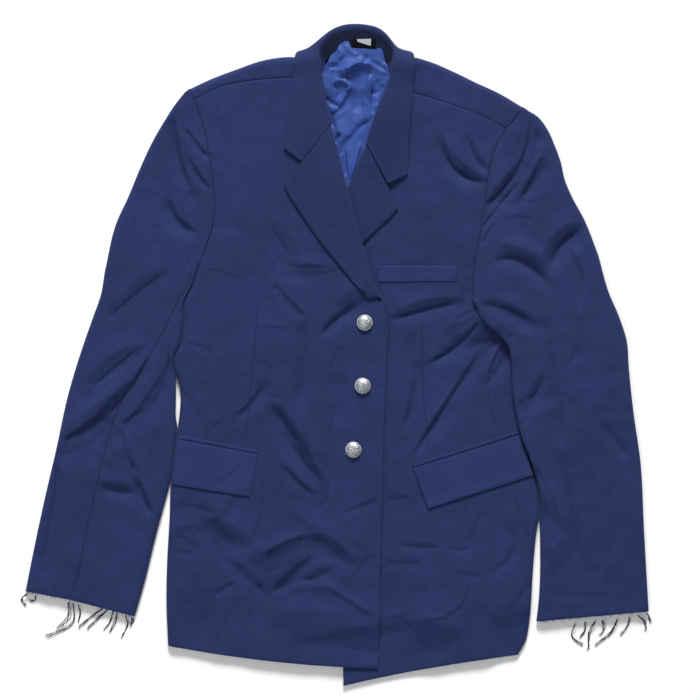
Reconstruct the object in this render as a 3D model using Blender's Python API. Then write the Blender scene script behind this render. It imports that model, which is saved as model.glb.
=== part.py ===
"""A woman's navy dress tunic, buttoned and laid flat on its back on a table.

X runs to the wearer's left, Y from the hem to the collar and Z up from the table. The tables
hold millimetres. Right and left are the wearer's.
"""

import math
from collections import namedtuple

import bmesh
import bpy
import numpy as np

# Driving sizes, in millimetres
CLOTH = 2.0          # shell cloth with its interlining and lining
LINING = 1.0         # satin lining on its own
COLLAR_CLOTH = 2.4   # two layers of cloth with canvas between
SEAM_GAP = 0.4       # between two pieces at a seam
LAY_GAP = 0.8        # under a piece that lies on a panel
FOLD_REACH = 7.0     # how far in from a side fold its curve reaches
COLLAR_TURN = 2.65   # radius of the collar's roll, at the middle of its cloth
ROLL_SET_BACK = 4.3  # a front's cut edge lies this far inside the lapel's roll
BUTTON_ACROSS = 19.05
BUTTON_HIGH = 6.4
BUTTON_SIDES = 18
RIM_SLOPE, RIM_BASE, RIM_TOP = 1.3, 1.0, 1.8   # the button's rim: bevel below it, its foot and its top
DOME = [(0.86, 32), (0.62, 58), (0.32, 77)]    # the button's dome: share of its radius and angle
JET_CLOTH = 1.3
FLAP_CLOTH = 1.8
LABEL_CLOTH = 0.8
STEP_AT_OVERLAP = 4.4     # the left front under the right one
STEP_AT_LAPELS = 7.3      # the left front where both lapels lie over it
OVERLAP_END, OVERLAP_FADE = 66, 60      # past the right front's edge, and how far the step takes to fade
LAPELS_X, LAPELS_Y = 22, 158            # middle of the place that both lapels cover
LAPELS_WIDE, LAPELS_HIGH = 52, 84
GORGE_Y, GORGE_FADE = 250, 50           # above the lapels the step fades again
LOWEST_TOP = 2 * CLOTH + 0.7   # a fold's bottom stays clear of the back's cloth
METRE = 0.001

NAVY = (0.026, 0.038, 0.122)
DARK_NAVY = (0.020, 0.029, 0.094)
ROYAL = (0.057, 0.117, 0.376)
SILVER = (0.52, 0.53, 0.54)
WHITE = (0.80, 0.80, 0.78)

# Rows of cloth between the sections of each long edge
ARMHOLE_ROWS = 11
BODY_ROWS = 20
SLEEVE_ROWS = 15
BACK_COLUMNS = 8
ARCH_ROWS = 9      # rows over which the back's top arch fades
WRAP_ANGLES = (-60, -25, 10, 50)
ROLL_ANGLES = (0, 35, 65)

Spot = namedtuple("Spot", "x y high")
Fold = namedtuple("Fold", "x1 y1 x2 y2 x3 y3 rise left right")
End = namedtuple("End", "kind amount")
CUT = End("cut", 0)

# How high the top of the laid garment stands, from place to place
LOFT = [
    Spot(-168, 300, 10), Spot(-100, 320, 13), Spot(-30, 335, 14), Spot(90, 320, 14), Spot(190, 275, 11),
    Spot(-130, 210, 12), Spot(20, 250, 14), Spot(130, 200, 12.5), Spot(20, 150, 14.5), Spot(-150, 110, 11.5),
    Spot(-60, 110, 12), Spot(150, 110, 12), Spot(55, 60, 12), Spot(-175, 20, 10), Spot(-60, 0, 12),
    Spot(60, 0, 11.5), Spot(190, 10, 9.5), Spot(-180, -100, 9), Spot(0, -120, 11), Spot(210, -100, 9),
    Spot(-185, -230, 9), Spot(0, -240, 11), Spot(215, -230, 9), Spot(-185, -340, 8), Spot(0, -365, 9.5),
    Spot(110, -360, 8.5), Spot(215, -340, 8),
    Spot(-230, 190, 10), Spot(-285, 30, 10), Spot(-225, 40, 11), Spot(-320, -110, 9.5), Spot(-220, -110, 9.5),
    Spot(-345, -270, 8), Spot(-250, -300, 8),
]
LEFT_SLEEVE_LOFT = [
    Spot(228, 290, 9), Spot(195, 250, 11.5), Spot(178, 190, 12.5), Spot(168, 120, 13.5), Spot(168, 70, 16.5),
    Spot(190, 35, 18), Spot(210, 0, 18), Spot(216, -60, 17.5), Spot(226, -100, 17), Spot(240, -135, 15),
    Spot(248, -175, 11), Spot(246, -240, 9), Spot(242, -310, 8),
    Spot(262, 240, 10), Spot(290, 165, 10.5), Spot(325, 70, 10.5), Spot(350, -60, 10), Spot(368, -200, 9),
    Spot(372, -300, 8), Spot(235, 150, 14.5), Spot(255, 60, 14.5), Spot(275, -60, 13), Spot(300, -190, 10.5),
    Spot(305, -300, 8.5),
]
LOFT_SPREAD = 48.0

# The largest folds: a run through three points, its rise (down if negative) and its reach to each side
BODY_FOLDS = [
    Fold(-80, -48, -56, -98, -25, -145, -3.4, 15, 17),
    Fold(-66, -30, -36, -88, -8, -140, 2.6, 16, 16),
    Fold(-33, 42, -38, -16, -46, -78, -2.4, 15, 15),
    Fold(2, -20, 0, -60, -8, -148, -2.8, 18, 15),
    Fold(42, 64, 2, 42, -14, 18, -2.4, 15, 16),
    Fold(-60, 0, -86, -42, -104, -60, -2.4, 15, 15),
    Fold(-80, 170, -58, 115, -26, 82, -2.2, 18, 18),
    Fold(-156, -190, -138, -222, -112, -250, -3.2, 16, 18),
    Fold(-128, -236, -84, -232, -30, -212, 2.8, 15, 16),
    Fold(-78, -284, -56, -266, -26, -238, -3.2, 15, 15),
    Fold(-30, -214, -8, -230, 17, -248, -2.8, 15, 15),
    Fold(-42, -265, 6, -284, 60, -314, 2.6, 16, 17),
    Fold(-90, -262, -86, -290, -96, -330, -2.2, 17, 17),
    Fold(-54, -341, -14, -340, 30, -338, -1.9, 16, 16),
    Fold(10, -320, 34, -322, 54, -324, 1.6, 16, 16),
    Fold(136, 258, 152, 218, 176, 196, -2.2, 17, 17),
    Fold(165, 52, 150, 30, 134, 10, -2.6, 16, 16),
    Fold(186, 24, 160, -12, 134, -46, -2.6, 15, 15),
    Fold(92, 40, 100, -30, 104, -112, -1.6, 18, 18),
    Fold(180, -190, 160, -260, 150, -340, 1.8, 20, 22),
    Fold(110, -210, 96, -280, 90, -350, -1.8, 18, 20),
]
RIGHT_SLEEVE_FOLDS = [
    Fold(-192, 284, -186, 240, -168, 184, -3.0, 14, 15),
    Fold(-178, 270, -164, 240, -152, 214, 1.8, 13, 14),
    Fold(-200, 186, -188, 160, -164, 142, -2.6, 15, 15),
    Fold(-328, -108, -276, -76, -238, -24, -3.2, 12, 18),
    Fold(-324, -84, -278, -54, -246, -10, 2.6, 16, 13),
    Fold(-199, 2, -212, -40, -250, -80, -3.2, 12, 16),
    Fold(-252, -96, -246, -120, -238, -134, 2.2, 14, 14),
    Fold(-326, -148, -336, -210, -354, -280, -2.4, 16, 17),
    Fold(-242, -148, -230, -172, -214, -192, -2.2, 13, 14),
    Fold(-282, -153, -260, -164, -240, -160, -1.8, 13, 14),
]
LEFT_SLEEVE_FOLDS = [
    Fold(230, 274, 222, 230, 184, 168, -3.4, 14, 14),
    Fold(244, 262, 236, 226, 200, 176, 3.0, 13, 14),
    Fold(252, 236, 240, 205, 218, 180, -2.4, 14, 14),
    Fold(296, 152, 268, 128, 254, 104, -3.2, 17, 16),
    Fold(186, 118, 222, 112, 256, 80, -3.0, 15, 14),
    Fold(192, 142, 228, 134, 258, 96, 1.8, 14, 14),
    Fold(212, 40, 240, 34, 262, 18, -2.4, 15, 15),
    Fold(222, -64, 246, -54, 268, -38, -2.4, 14, 14),
    Fold(261, -60, 266, -130, 272, -204, -1.6, 18, 20),
    Fold(246, -170, 258, -196, 270, -218, -2.4, 13, 15),
    Fold(314, -76, 334, -102, 352, -126, -1.8, 15, 15),
]

# Long edges, in plan. The shoulder stretches belong to the back, which comes over the shoulder.
RIGHT_SHOULDER_FOLD = (-173, 317.5)
RIGHT_ARMHOLE = [
    (-168, 305), (-162, 290), (-156, 270), (-149, 234), (-145, 202), (-143, 182), (-147, 149), (-155, 126),
    (-163, 104),
]
RIGHT_SIDE = [
    (-163, 104), (-170, 84), (-179, 64), (-181, 36), (-184, 14), (-191, -2), (-192, -14), (-186, -34),
    (-184, -48), (-185, -66), (-188, -90), (-191, -112), (-194, -134), (-196, -155), (-197, -190),
    (-200, -243), (-201, -291), (-199, -346),
]
RIGHT_ROLL = [(-17, 333), (-12, 303), (-1, 259), (14, 200), (25, 156), (34, 129), (40, 103)]
RIGHT_CENTRE = [
    (40, 103), (49, 78), (60, 60), (64, 40), (62, 8), (60, -50), (58, -89), (57, -135), (55, -208), (52, -373),
]
LEFT_SHOULDER_FOLD = (223, 296)
LEFT_ARMHOLE = [
    (204, 270), (193, 253), (185, 228), (181, 205), (178, 180), (174, 150), (169, 124), (165, 94), (164, 66),
]
LEFT_SIDE = [
    (164, 66), (176, 50), (192, 32), (206, 16), (217, -4), (223, -40), (229, -90), (234.6, -130), (239, -146),
    (242.8, -170), (243.6, -188), (240.5, -207), (237.5, -235), (235.5, -262), (234, -290), (231.5, -318),
    (228, -338), (218, -357),
]
LEFT_ROLL = [(67, 320), (54, 299), (37, 253), (15, 200), (8, 150), (7, 66)]
LEFT_CENTRE = [(7, 66), (7, -150), (8, -300), (10, -394)]

# The shoulder fold and neck edge of the back, from the right shoulder point to the left one
BACK_TOP = [
    (-173, 317.5), (-146, 330), (-118, 340.5), (-89, 350.5), (-64, 355), (-44, 355), (-24, 352), (0, 360),
    (30, 366), (56, 360), (74, 352), (92, 355), (111, 350.5), (139, 339), (168, 325), (196, 312), (223, 296),
]
NECK_FROM, NECK_TO = -22, 72     # the back's edge is a neck seam between these, and a shoulder fold beyond
RIGHT_SHOULDER_SEAM = [(-168, 305), (-149, 314), (-136, 320), (-110, 326), (-61, 331), (-17, 333)]
LEFT_SHOULDER_SEAM = [(67, 320), (94, 313), (136, 300), (171, 287), (204, 270)]

RIGHT_SLEEVE_OUTER_HEAD = [
    (-180, 312.5), (-190, 300), (-203, 280), (-218, 254), (-232, 224), (-246, 190), (-261, 157), (-274.5, 100),
]
RIGHT_SLEEVE_OUTER = [
    (-274.5, 100), (-279, 73), (-288, 47), (-303, 4), (-318, -46), (-332, -110), (-346, -170), (-361, -240),
    (-369, -281),
]
RIGHT_SLEEVE_SEAM = [
    (-163, 104), (-174, 84), (-187, 64), (-199, 38), (-212, 14), (-233, -20), (-248, -42), (-261, -70),
    (-271, -102), (-284, -156), (-296, -211), (-308, -267), (-316, -291),
]
RIGHT_SLEEVE_INNER = [
    (-166, 98), (-173, 82), (-181.4, 63), (-183.6, 36), (-186.4, 14), (-192.5, -1), (-193.5, -15), (-190.5, -32),
    (-190, -50), (-190.3, -72), (-190.8, -88), (-192.7, -112), (-195.7, -134), (-199, -152), (-204, -175),
    (-212, -208), (-228, -273), (-239, -311),
]
LEFT_SLEEVE_OUTER_HEAD = [
    (230.5, 291.5), (240, 286), (253.5, 269), (262, 250), (269, 231), (274, 209), (282.5, 189), (297, 162),
    (314, 119),
]
LEFT_SLEEVE_OUTER = [
    (314, 119), (326, 76), (339, 45), (348, 16), (350, -12), (355.5, -65), (364.5, -130), (368, -200),
    (371.5, -262), (374, -305),
]
LEFT_SLEEVE_INNER = [
    (164, 66), (176, 41), (197, 22), (207, 8), (209, -4), (212, -52), (217, -77), (222, -98), (233, -124),
    (241, -142), (245, -172), (245, -226), (243, -290), (240, -317),
]

# Pieces that lie on the fronts, from their outer edge to the roll, row by row
LapelRow = namedtuple("LapelRow", "edge_x edge_y roll_x roll_y")
RIGHT_LAPEL = [
    LapelRow(-40, 229.4, -5, 275.5), LapelRow(-50, 217, -2, 262), LapelRow(-60, 204, 3, 246),
    LapelRow(-57, 194, 7, 230), LapelRow(-46, 177, 12, 209), LapelRow(-36, 162, 17, 190),
    LapelRow(-26, 147, 22, 170), LapelRow(-15, 132, 27, 152), LapelRow(-2, 116, 33, 132),
    LapelRow(12, 99, 39, 110), LapelRow(26, 82, 46, 88), LapelRow(40, 68, 55, 70),
]
LEFT_LAPEL = [
    LapelRow(63.4, 203.7, 36.9, 251.6), LapelRow(65, 195, 33, 243), LapelRow(75, 175, 27, 230),
    LapelRow(66, 165, 22, 217), LapelRow(54, 154, 15, 200), LapelRow(44, 144, 11, 182),
    LapelRow(34, 134, 9, 160), LapelRow(24, 120, 8, 138), LapelRow(17, 104, 8, 112),
]
# The collar: its outer edge, the middle of the leaf, the roll and the neck seam. turn is the angle of the
# way from leaf to stand: -90 where the leaf lies on a front, 90 where it lies under the back.
CollarRow = namedtuple("CollarRow", "ex ey ez mx my rx ry rz sx sy sz turn")
ON_FRONT = None      # height taken from the front below
COLLAR = [
    CollarRow(-61, 247, ON_FRONT, -39.6, 231, -4, 277, ON_FRONT, 0, 0, ON_FRONT, -90),
    CollarRow(-58, 267, ON_FRONT, -36, 262, -9, 293, ON_FRONT, 0, 0, ON_FRONT, -90),
    CollarRow(-53, 300, ON_FRONT, -34, 303, -13, 311, ON_FRONT, 0, 0, ON_FRONT, -90),
    CollarRow(-50, 332, ON_FRONT, -34, 333, -16.5, 335, ON_FRONT, 0, 0, ON_FRONT, -90),
    CollarRow(-48.5, 350, 16.0, -34, 352, -19, 355, 17.0, -13, 346, 9.5, -62),
    CollarRow(-45, 361, 7.8, -33, 364, -20, 371, 12.0, -10, 352, 8.2, -8),
    CollarRow(-36, 353, 1.7, -24, 366, -10, 383.5, 4.6, 0, 358, 7.6, 50),
    CollarRow(-12, 346, 1.4, -4, 366, 5, 391.5, 1.8, 12, 362, 7.2, 84),
    CollarRow(30, 343, 1.4, 30, 366, 31, 394, 1.4, 31, 365, 7.0, 90),
    CollarRow(70, 345, 1.4, 62, 364, 54, 388, 1.8, 48, 361, 7.2, 84),
    CollarRow(84, 354, 1.7, 76, 362, 66, 376, 4.6, 58, 355, 7.6, 50),
    CollarRow(92, 360.5, 8.0, 80, 363, 70, 364, 12.0, 62, 348, 8.2, -8),
    CollarRow(95, 349, 17.2, 82, 351, 69.5, 352, 17.6, 64, 341, 9.5, -62),
    CollarRow(93, 325, ON_FRONT, 80, 328, 66, 333, ON_FRONT, 0, 0, ON_FRONT, -90),
    CollarRow(92, 300, ON_FRONT, 76, 304, 58, 310, ON_FRONT, 0, 0, ON_FRONT, -90),
    CollarRow(88, 262, ON_FRONT, 70, 264, 48, 284, ON_FRONT, 0, 0, ON_FRONT, -90),
    CollarRow(86, 216, ON_FRONT, 63, 205, 37.5, 253, ON_FRONT, 0, 0, ON_FRONT, -90),
]
COLLAR_STATIONS = 20
LEAF_EDGE_LIFT, LEAF_ROLL_LIFT = 0.4, 0.9   # the leaf's clearance at its edge and at its roll
STAND_SET_BACK = 0.9  # the stand's seam lies this far inside the roll
LEAF_MIDDLE = 0.55    # where the leaf's middle lies on the way from its edge to its roll
LAPEL_TURN = 4.0      # radius of a lapel's roll
LAPEL_SPRING = 0.8    # how much higher a lapel stands at its roll
LEFT_UNDER_SHARE = 0.26   # share of its width that the left top sleeve comes back underneath
UNDER_EDGE_BACK = 0.1     # the right sleeve's pieces stop this far short of their seam underneath
RIGHT_HEM_BOW, LEFT_HEM_BOW = -5, 3   # how far up each hem bows at its middle
BOW_ROWS = 6
ARCH_END = 30             # the back's arch fades over this length at the side edges
NEIGHBOURS = [(0, 0), (5, 0), (-5, 0), (0, 5), (0, -5)]

# Pocket pieces: four corners each, from the upper inner one round, on the front they are sewn to
RIGHT_JET = [(-183, -94.5), (-91, -112), (-92, -116.5), (-184, -99)]
RIGHT_FLAP = [(-187, -99.5), (-92, -117.2), (-101, -168), (-193.5, -153.5)]
LEFT_JET = [(92, -129), (218, -89), (219, -93), (93, -133)]
LEFT_FLAP = [(93, -134), (220, -94), (236, -142), (111, -182)]
BREAST_WELT = [(52, 108), (146, 108), (143.5, 88.5), (52, 88)]
BUTTONS = [(35.5, 39), (33, -36), (22, -112)]
LABEL = [(19, 377), (49, 377), (48, 367), (20, 367)]
STAND_Y, STAND_HIGH = [360, 366, 388, 394], [8.3, 8.4, 7.9, 6.6]   # the stand's upper face, which holds it

# Satin lining where the open neck shows it
LiningRow = namedtuple("LiningRow", "left right up")
BACK_LINING = [
    LiningRow(-4, 55, 351), LiningRow(-26, 74, 337), LiningRow(-28, 72, 305), LiningRow(-18, 58, 262),
    LiningRow(-6, 40, 220), LiningRow(4, 26, 188),
]

# Loose threads of the cut sleeves: root, bend and tip
Thread = namedtuple("Thread", "x1 y1 x2 y2 x3 y3")
RIGHT_CUFF_THREADS = [
    Thread(-367, -284, -375, -291, -368, -298), Thread(-357, -286, -357.5, -292, -364, -293.5),
    Thread(-318, -294.7, -319, -314, -331, -326), Thread(-312, -295.5, -312, -316, -345, -335),
    Thread(-306, -297, -304, -307, -307, -318), Thread(-277, -302, -291, -313, -306, -324),
    Thread(-271, -303, -284, -315, -296, -326), Thread(-265, -305, -269, -318, -276, -327),
    Thread(-260, -307, -262, -318, -268, -330), Thread(-250, -310, -247, -320, -255, -335),
    Thread(-243, -312, -240.5, -317, -245, -322),
]
LEFT_CUFF_THREADS = [
    Thread(361, -310, 370, -319, 372, -329), Thread(371, -307, 375, -312, 376, -319),
    Thread(351, -312, 350, -322, 340, -333), Thread(337, -314, 330, -330, 311, -347),
    Thread(310, -317, 304, -328, 303, -352), Thread(298, -318, 298, -329, 292, -336),
    Thread(286, -320, 283, -336, 296, -346), Thread(319, -316, 321, -326, 317, -334),
]
THREAD_WIDTH = 0.9
THREAD_TAPER = 0.6   # a thread's width at its tip, as a share of its root's
THREAD_CREST = 1.6   # a thread's height, as a share of half its width
THREAD_RINGS = 6
THREAD_LIFT = 0.45
STRIP_OFF, STRIP_WIDE, STRIP_LIFT, STRIP_TOP = 0.4, 1.6, 0.3, 1.5


def smooth_curve(points, count):
    """Points evenly spaced along a smooth curve through the given ones."""
    through = np.array(points, float)
    chord = np.concatenate([[0], np.cumsum(np.linalg.norm(np.diff(through, axis=0), axis=1))])
    slope = np.gradient(through, chord, axis=0)
    at = np.linspace(0, chord[-1], 24 * len(through))
    k = np.clip(np.searchsorted(chord, at, side="right") - 1, 0, len(through) - 2)
    step = (chord[k + 1] - chord[k])[:, None]
    t = (at - chord[k])[:, None] / step
    fine = (
        (2 * t**3 - 3 * t**2 + 1) * through[k] + (t**3 - 2 * t**2 + t) * step * slope[k]
        + (3 * t**2 - 2 * t**3) * through[k + 1] + (t**3 - t**2) * step * slope[k + 1]
    )
    run = np.concatenate([[0], np.cumsum(np.linalg.norm(np.diff(fine, axis=0), axis=1))])
    even = np.linspace(0, run[-1], count)
    return np.stack([np.interp(even, run, fine[:, i]) for i in range(fine.shape[1])], axis=1)


def join_curves(first, first_rows, second, second_rows):
    return np.vstack([smooth_curve(first, first_rows + 1)[:-1], smooth_curve(second, second_rows + 1)])


def ease(value):
    """0 to 1 with level ends."""
    t = np.clip(value, 0, 1)
    return t * t * (3 - 2 * t)


def spread_height(spots, x, y):
    """A smooth height through the spots."""
    total, weight = 0.0, 0.0
    for spot in spots:
        near = np.exp(-((x - spot.x) ** 2 + (y - spot.y) ** 2) / (2 * LOFT_SPREAD**2)) + 1e-9
        total = total + near * spot.high
        weight = weight + near
    return total / weight


def fold_height(fold, x, y):
    """What one fold adds: full along its run, easing to nothing at its ends and sides."""
    t = np.linspace(0, 1, 9)
    bend_x = 2 * fold.x2 - (fold.x1 + fold.x3) / 2
    bend_y = 2 * fold.y2 - (fold.y1 + fold.y3) / 2
    run_x = (1 - t) ** 2 * fold.x1 + 2 * t * (1 - t) * bend_x + t**2 * fold.x3
    run_y = (1 - t) ** 2 * fold.y1 + 2 * t * (1 - t) * bend_y + t**2 * fold.y3
    best = np.full(np.shape(x), 1e9)
    side = np.zeros(np.shape(x))
    place = np.zeros(np.shape(x))
    for i in range(len(t) - 1):
        dx, dy = run_x[i + 1] - run_x[i], run_y[i + 1] - run_y[i]
        s = np.clip(((x - run_x[i]) * dx + (y - run_y[i]) * dy) / (dx * dx + dy * dy), 0, 1)
        away = np.hypot(x - run_x[i] - s * dx, y - run_y[i] - s * dy)
        nearer = away < best
        best = np.where(nearer, away, best)
        side = np.where(nearer, dx * (y - run_y[i]) - dy * (x - run_x[i]), side)
        place = np.where(nearer, (i + s) / (len(t) - 1), place)
    reach = np.where(side > 0, fold.left, fold.right)
    across = np.clip(1 - (best / reach) ** 2, 0, 1) ** 2
    along = ease(place / 0.3) * ease((1 - place) / 0.3)
    return fold.rise * across * (0.25 + 0.75 * along)


def folds_height(folds, x, y):
    return sum(fold_height(fold, x, y) for fold in folds)


def garment_top(x, y):
    """Top of the right front, the shoulders and the right sleeve."""
    high = spread_height(LOFT, x, y) + folds_height(BODY_FOLDS + RIGHT_SLEEVE_FOLDS, x, y)
    return np.maximum(high, LOWEST_TOP)


def left_front_top(x, y):
    """The left front lies lower where the right front and the lapels cover it."""
    past_centre = ease((x - OVERLAP_END) / OVERLAP_FADE)
    lapels = np.exp(-(((x - LAPELS_X) / LAPELS_WIDE) ** 4) - ((y - LAPELS_Y) / LAPELS_HIGH) ** 4)
    step = STEP_AT_OVERLAP + (STEP_AT_LAPELS - STEP_AT_OVERLAP) * lapels
    step = step * (1 - ease((y - GORGE_Y) / GORGE_FADE))
    high = garment_top(x, y) - step * (1 - past_centre * (1 - lapels))
    return np.maximum(high, LOWEST_TOP)


LEFT_SIDE_CURVE = smooth_curve(LEFT_SIDE, 60)
RIGHT_SIDE_CURVE = smooth_curve(RIGHT_SIDE, 60)


def left_side_x(y):
    """Where the body's left side fold lies, under the left sleeve."""
    return np.interp(-y, -LEFT_SIDE_CURVE[:, 1], LEFT_SIDE_CURVE[:, 0])


def left_sleeve_floor(x, y):
    """The left sleeve's underside: the table, and over the side of the body where it lies on it."""
    over = 1 - ease((x - left_side_x(y) - 2) / 20)
    along = ease((92 - y) / 30) * ease((y + 160) / 34)
    flap = 2.8 * ease((y + 178) / 20) * ease((-70 - y) / 20)
    return over * along * (left_front_top(np.minimum(x, left_side_x(y)), y) + 1.4 + flap)


def left_sleeve_top(x, y):
    high = spread_height(LEFT_SLEEVE_LOFT, x, y) + folds_height(LEFT_SLEEVE_FOLDS, x, y)
    return np.maximum(high, left_sleeve_floor(x, y) + 2 * CLOTH + 1.6)


def back_floor(x, y):
    """The back lies on the table, and on the collar's leaf behind the neck."""
    return 3.2 * ease((y - 310) / 14) * ease((x + 66) / 16) * ease((112 - x) / 16)


def flat_floor(x, y):
    return np.zeros(np.shape(x))


def end_stops(end, width):
    """Distance in from an edge and the angle that the cloth faces there, from the edge inward."""
    reach = min(FOLD_REACH, 0.55 * width)
    if end.kind == "cut":
        return [(0.0, 90.0)], 0.0
    if end.kind == "roll":
        return [(reach * (1 - math.cos(math.radians(a))), float(a)) for a in ROLL_ANGLES], reach
    under = [(end.amount, -90.0), ((end.amount + reach) / 2, -90.0), (reach, -90.0)]
    curve = [(reach * (1 - math.cos(math.radians(a))), float(a)) for a in WRAP_ANGLES]
    return under + curve, reach


def no_bend(share):
    return np.zeros((len(share), 2))


def cross_section(start, stop, top, floor, face, near, far, middle, bend=no_bend):
    """Outer and inner points of one section of cloth wall, from start to stop in plan.

    face is 1 for cloth whose outer face is up, -1 for cloth whose outer face is down. near and far
    say how the ends finish: cut, roll (a quarter turn, by its amount) or wrap (right round, the
    amount being how far it comes back underneath). bend moves the points in plan by their share.
    """
    width = math.dist(start, stop)
    along = (np.array(stop) - np.array(start)) / width
    near_stops, near_reach = end_stops(near, width)
    far_stops, far_reach = end_stops(far, width)
    inside = np.linspace(near_reach, width - far_reach, middle + 2)
    inside = inside[(1 if near.kind == "cut" else 0):(-1 if far.kind == "cut" else None)]
    rows = [(d, a, -1, near) for d, a in near_stops]
    rows += [(d, 90.0, 0, CUT) for d in inside]
    rows += [(width - d, a, 1, far) for d, a in reversed(far_stops)]
    distance, angle, lean = (np.array([row[k] for row in rows], float) for k in range(3))
    wraps = np.array([row[3].kind == "wrap" for row in rows])
    weight = np.array([row[3].amount if row[3].kind == "roll" else 0 for row in rows], float)
    plan = np.array(start) + along * distance[:, None] + bend(distance / width)
    high, low = top(*plan.T), floor(*plan.T)
    centre, half = (high + low) / 2, (high - low) / 2
    turn = np.radians(angle)
    gap = weight * SEAM_GAP / 2
    rolled = centre + face * (gap + (half - gap) * (1 - weight * (1 - np.sin(turn))))
    facing = np.where(wraps, turn, np.pi / 2 - weight * (np.pi / 2 - turn))
    outer = np.column_stack([plan, np.where(wraps, centre + half * np.sin(turn), rolled)])
    upward = np.where(wraps, 1, face) * np.sin(facing)
    normal = np.column_stack([along * (lean * np.cos(facing))[:, None], upward])
    return outer, outer - CLOTH * normal


def add_object(name, points, faces, colour, roughness, metallic=0.0):
    """A mesh object in metres with its own finish."""
    mesh = bpy.data.meshes.new(name)
    mesh.from_pydata([tuple(METRE * float(c) for c in p) for p in points], [], faces)
    shape = bmesh.new()
    shape.from_mesh(mesh)
    bmesh.ops.triangulate(shape, faces=shape.faces[:])
    if shape.calc_volume(signed=True) < 0:
        bmesh.ops.reverse_faces(shape, faces=shape.faces[:])
    shape.to_mesh(mesh)
    shape.free()
    mesh.validate()
    mesh.shade_smooth()
    mesh.set_sharp_from_angle(angle=math.radians(50))
    finish = bpy.data.materials.new(name)
    finish.use_nodes = True
    shader = finish.node_tree.nodes["Principled BSDF"]
    shader.inputs["Base Color"].default_value = (*colour, 1)
    shader.inputs["Roughness"].default_value = roughness
    shader.inputs["Metallic"].default_value = metallic
    mesh.materials.append(finish)
    made = bpy.data.objects.new(name, mesh)
    bpy.context.collection.objects.link(made)
    return made


def wall(name, outer, inner, colour=NAVY, roughness=0.85):
    """A closed wall between two grids of points; a place with no cloth holds None."""
    number, points, faces, rim = {}, [], [], {}
    for layer, grid in enumerate((outer, inner)):
        for i, row in enumerate(grid):
            for j, point in enumerate(row):
                if point is not None:
                    number[layer, i, j] = len(points)
                    points.append(point)
    for i in range(len(outer) - 1):
        for j in range(len(outer[i]) - 1):
            ring = [(i, j), (i, j + 1), (i + 1, j + 1), (i + 1, j)]
            if any((0, *at) not in number for at in ring):
                continue
            faces.append([number[0, *at] for at in ring])
            faces.append([number[1, *at] for at in reversed(ring)])
            for a, b in zip(ring, ring[1:] + ring[:1]):
                rim[a, b] = rim.pop((b, a), None) is None and (a, b)
    for edge in rim.values():
        if edge:
            a, b = edge
            faces.append([number[0, *b], number[0, *a], number[1, *a], number[1, *b]])
    return add_object(name, points, faces, colour, roughness)


def sheet(name, near_edge, far_edge, top, floor, face, near, far, middle, bends=None, colour=NAVY):
    """A wall of one section for each pair of edge points. near and far give each row's End."""
    sections = [
        cross_section(a, b, top, floor, face, near(i), far(i), middle, bends[i] if bends else no_bend)
        for i, (a, b) in enumerate(zip(near_edge, far_edge))
    ]
    return wall(name, [s[0] for s in sections], [s[1] for s in sections], colour)


def inset(edge, other, distance):
    """Edge points moved towards the points across from them."""
    way = other - edge
    return edge + way * (np.asarray(distance).reshape(-1, 1) / np.linalg.norm(way, axis=1)[:, None])


def seam_inset(rows, seam_rows):
    """Half a seam's gap on the first rows, and nothing after them."""
    return np.where(np.arange(rows) <= seam_rows, SEAM_GAP / 2, 0.0)


def side_roll(seam_rows):
    """No curve along the armhole, and a full one from a little below it."""
    return lambda i: End("roll", float(ease((i - seam_rows + 0.5) / 2)))


def bows(rows, seam, hem, reach):
    """How far each row bows in plan: onto the shoulder seam at the top, by hem at the bottom."""
    run = np.concatenate([[0], np.cumsum(np.linalg.norm(np.diff(seam, axis=0), axis=1))])
    shares = np.linspace(0, 1, 101)
    curve = np.column_stack([np.interp(shares * run[-1], run, seam[:, k]) for k in range(2)])
    off = curve - (curve[0] + np.outer(shares, curve[-1] - curve[0]))
    i = np.arange(rows)
    first, last = ease(1 - i / reach), hem * ease(1 - (rows - 1 - i) / reach)

    def row_bow(share, k):
        bow = first[k] * np.column_stack([np.interp(share, shares, off[:, side]) for side in range(2)])
        bow[:, 1] += 4 * share * (1 - share) * last[k]
        return bow

    return [lambda share, k=k: row_bow(share, k) for k in i]


def always(end):
    return lambda i: end


def wraps(amounts):
    """A fold right round, each row coming back underneath by its own amount."""
    return lambda i: End("wrap", amounts[i])


def make_right_front(shoulder_seam):
    side = join_curves(RIGHT_ARMHOLE, ARMHOLE_ROWS, RIGHT_SIDE, BODY_ROWS)
    centre = join_curves(RIGHT_ROLL, ARMHOLE_ROWS, RIGHT_CENTRE, BODY_ROWS)
    rows = len(side)
    under_lapel = ROLL_SET_BACK * ease((ARMHOLE_ROWS + 2.8 - np.arange(rows)) / 1.2)
    near = inset(side, centre, seam_inset(rows, ARMHOLE_ROWS))
    far = inset(centre, side, under_lapel)
    near[0, 1] -= SEAM_GAP
    far[0, 1] -= SEAM_GAP
    sheet("right_front", near, far, garment_top, flat_floor, 1, side_roll(ARMHOLE_ROWS), always(CUT), 12,
          bows(rows, shoulder_seam, RIGHT_HEM_BOW, BOW_ROWS))


def make_left_front(shoulder_seam):
    centre = join_curves(LEFT_ROLL, ARMHOLE_ROWS, LEFT_CENTRE, BODY_ROWS)
    side = join_curves(LEFT_ARMHOLE, ARMHOLE_ROWS, LEFT_SIDE, BODY_ROWS)
    rows = len(side)
    near = inset(centre, side, ROLL_SET_BACK * ease((ARMHOLE_ROWS + 0.4 - np.arange(rows)) / 1.2))
    far = inset(side, centre, seam_inset(rows, ARMHOLE_ROWS))
    near[0, 1] -= SEAM_GAP
    far[0, 1] -= SEAM_GAP
    sheet("left_front", near, far, left_front_top, flat_floor, 1, always(CUT), side_roll(ARMHOLE_ROWS), 11,
          bows(rows, shoulder_seam, LEFT_HEM_BOW, BOW_ROWS))


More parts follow.
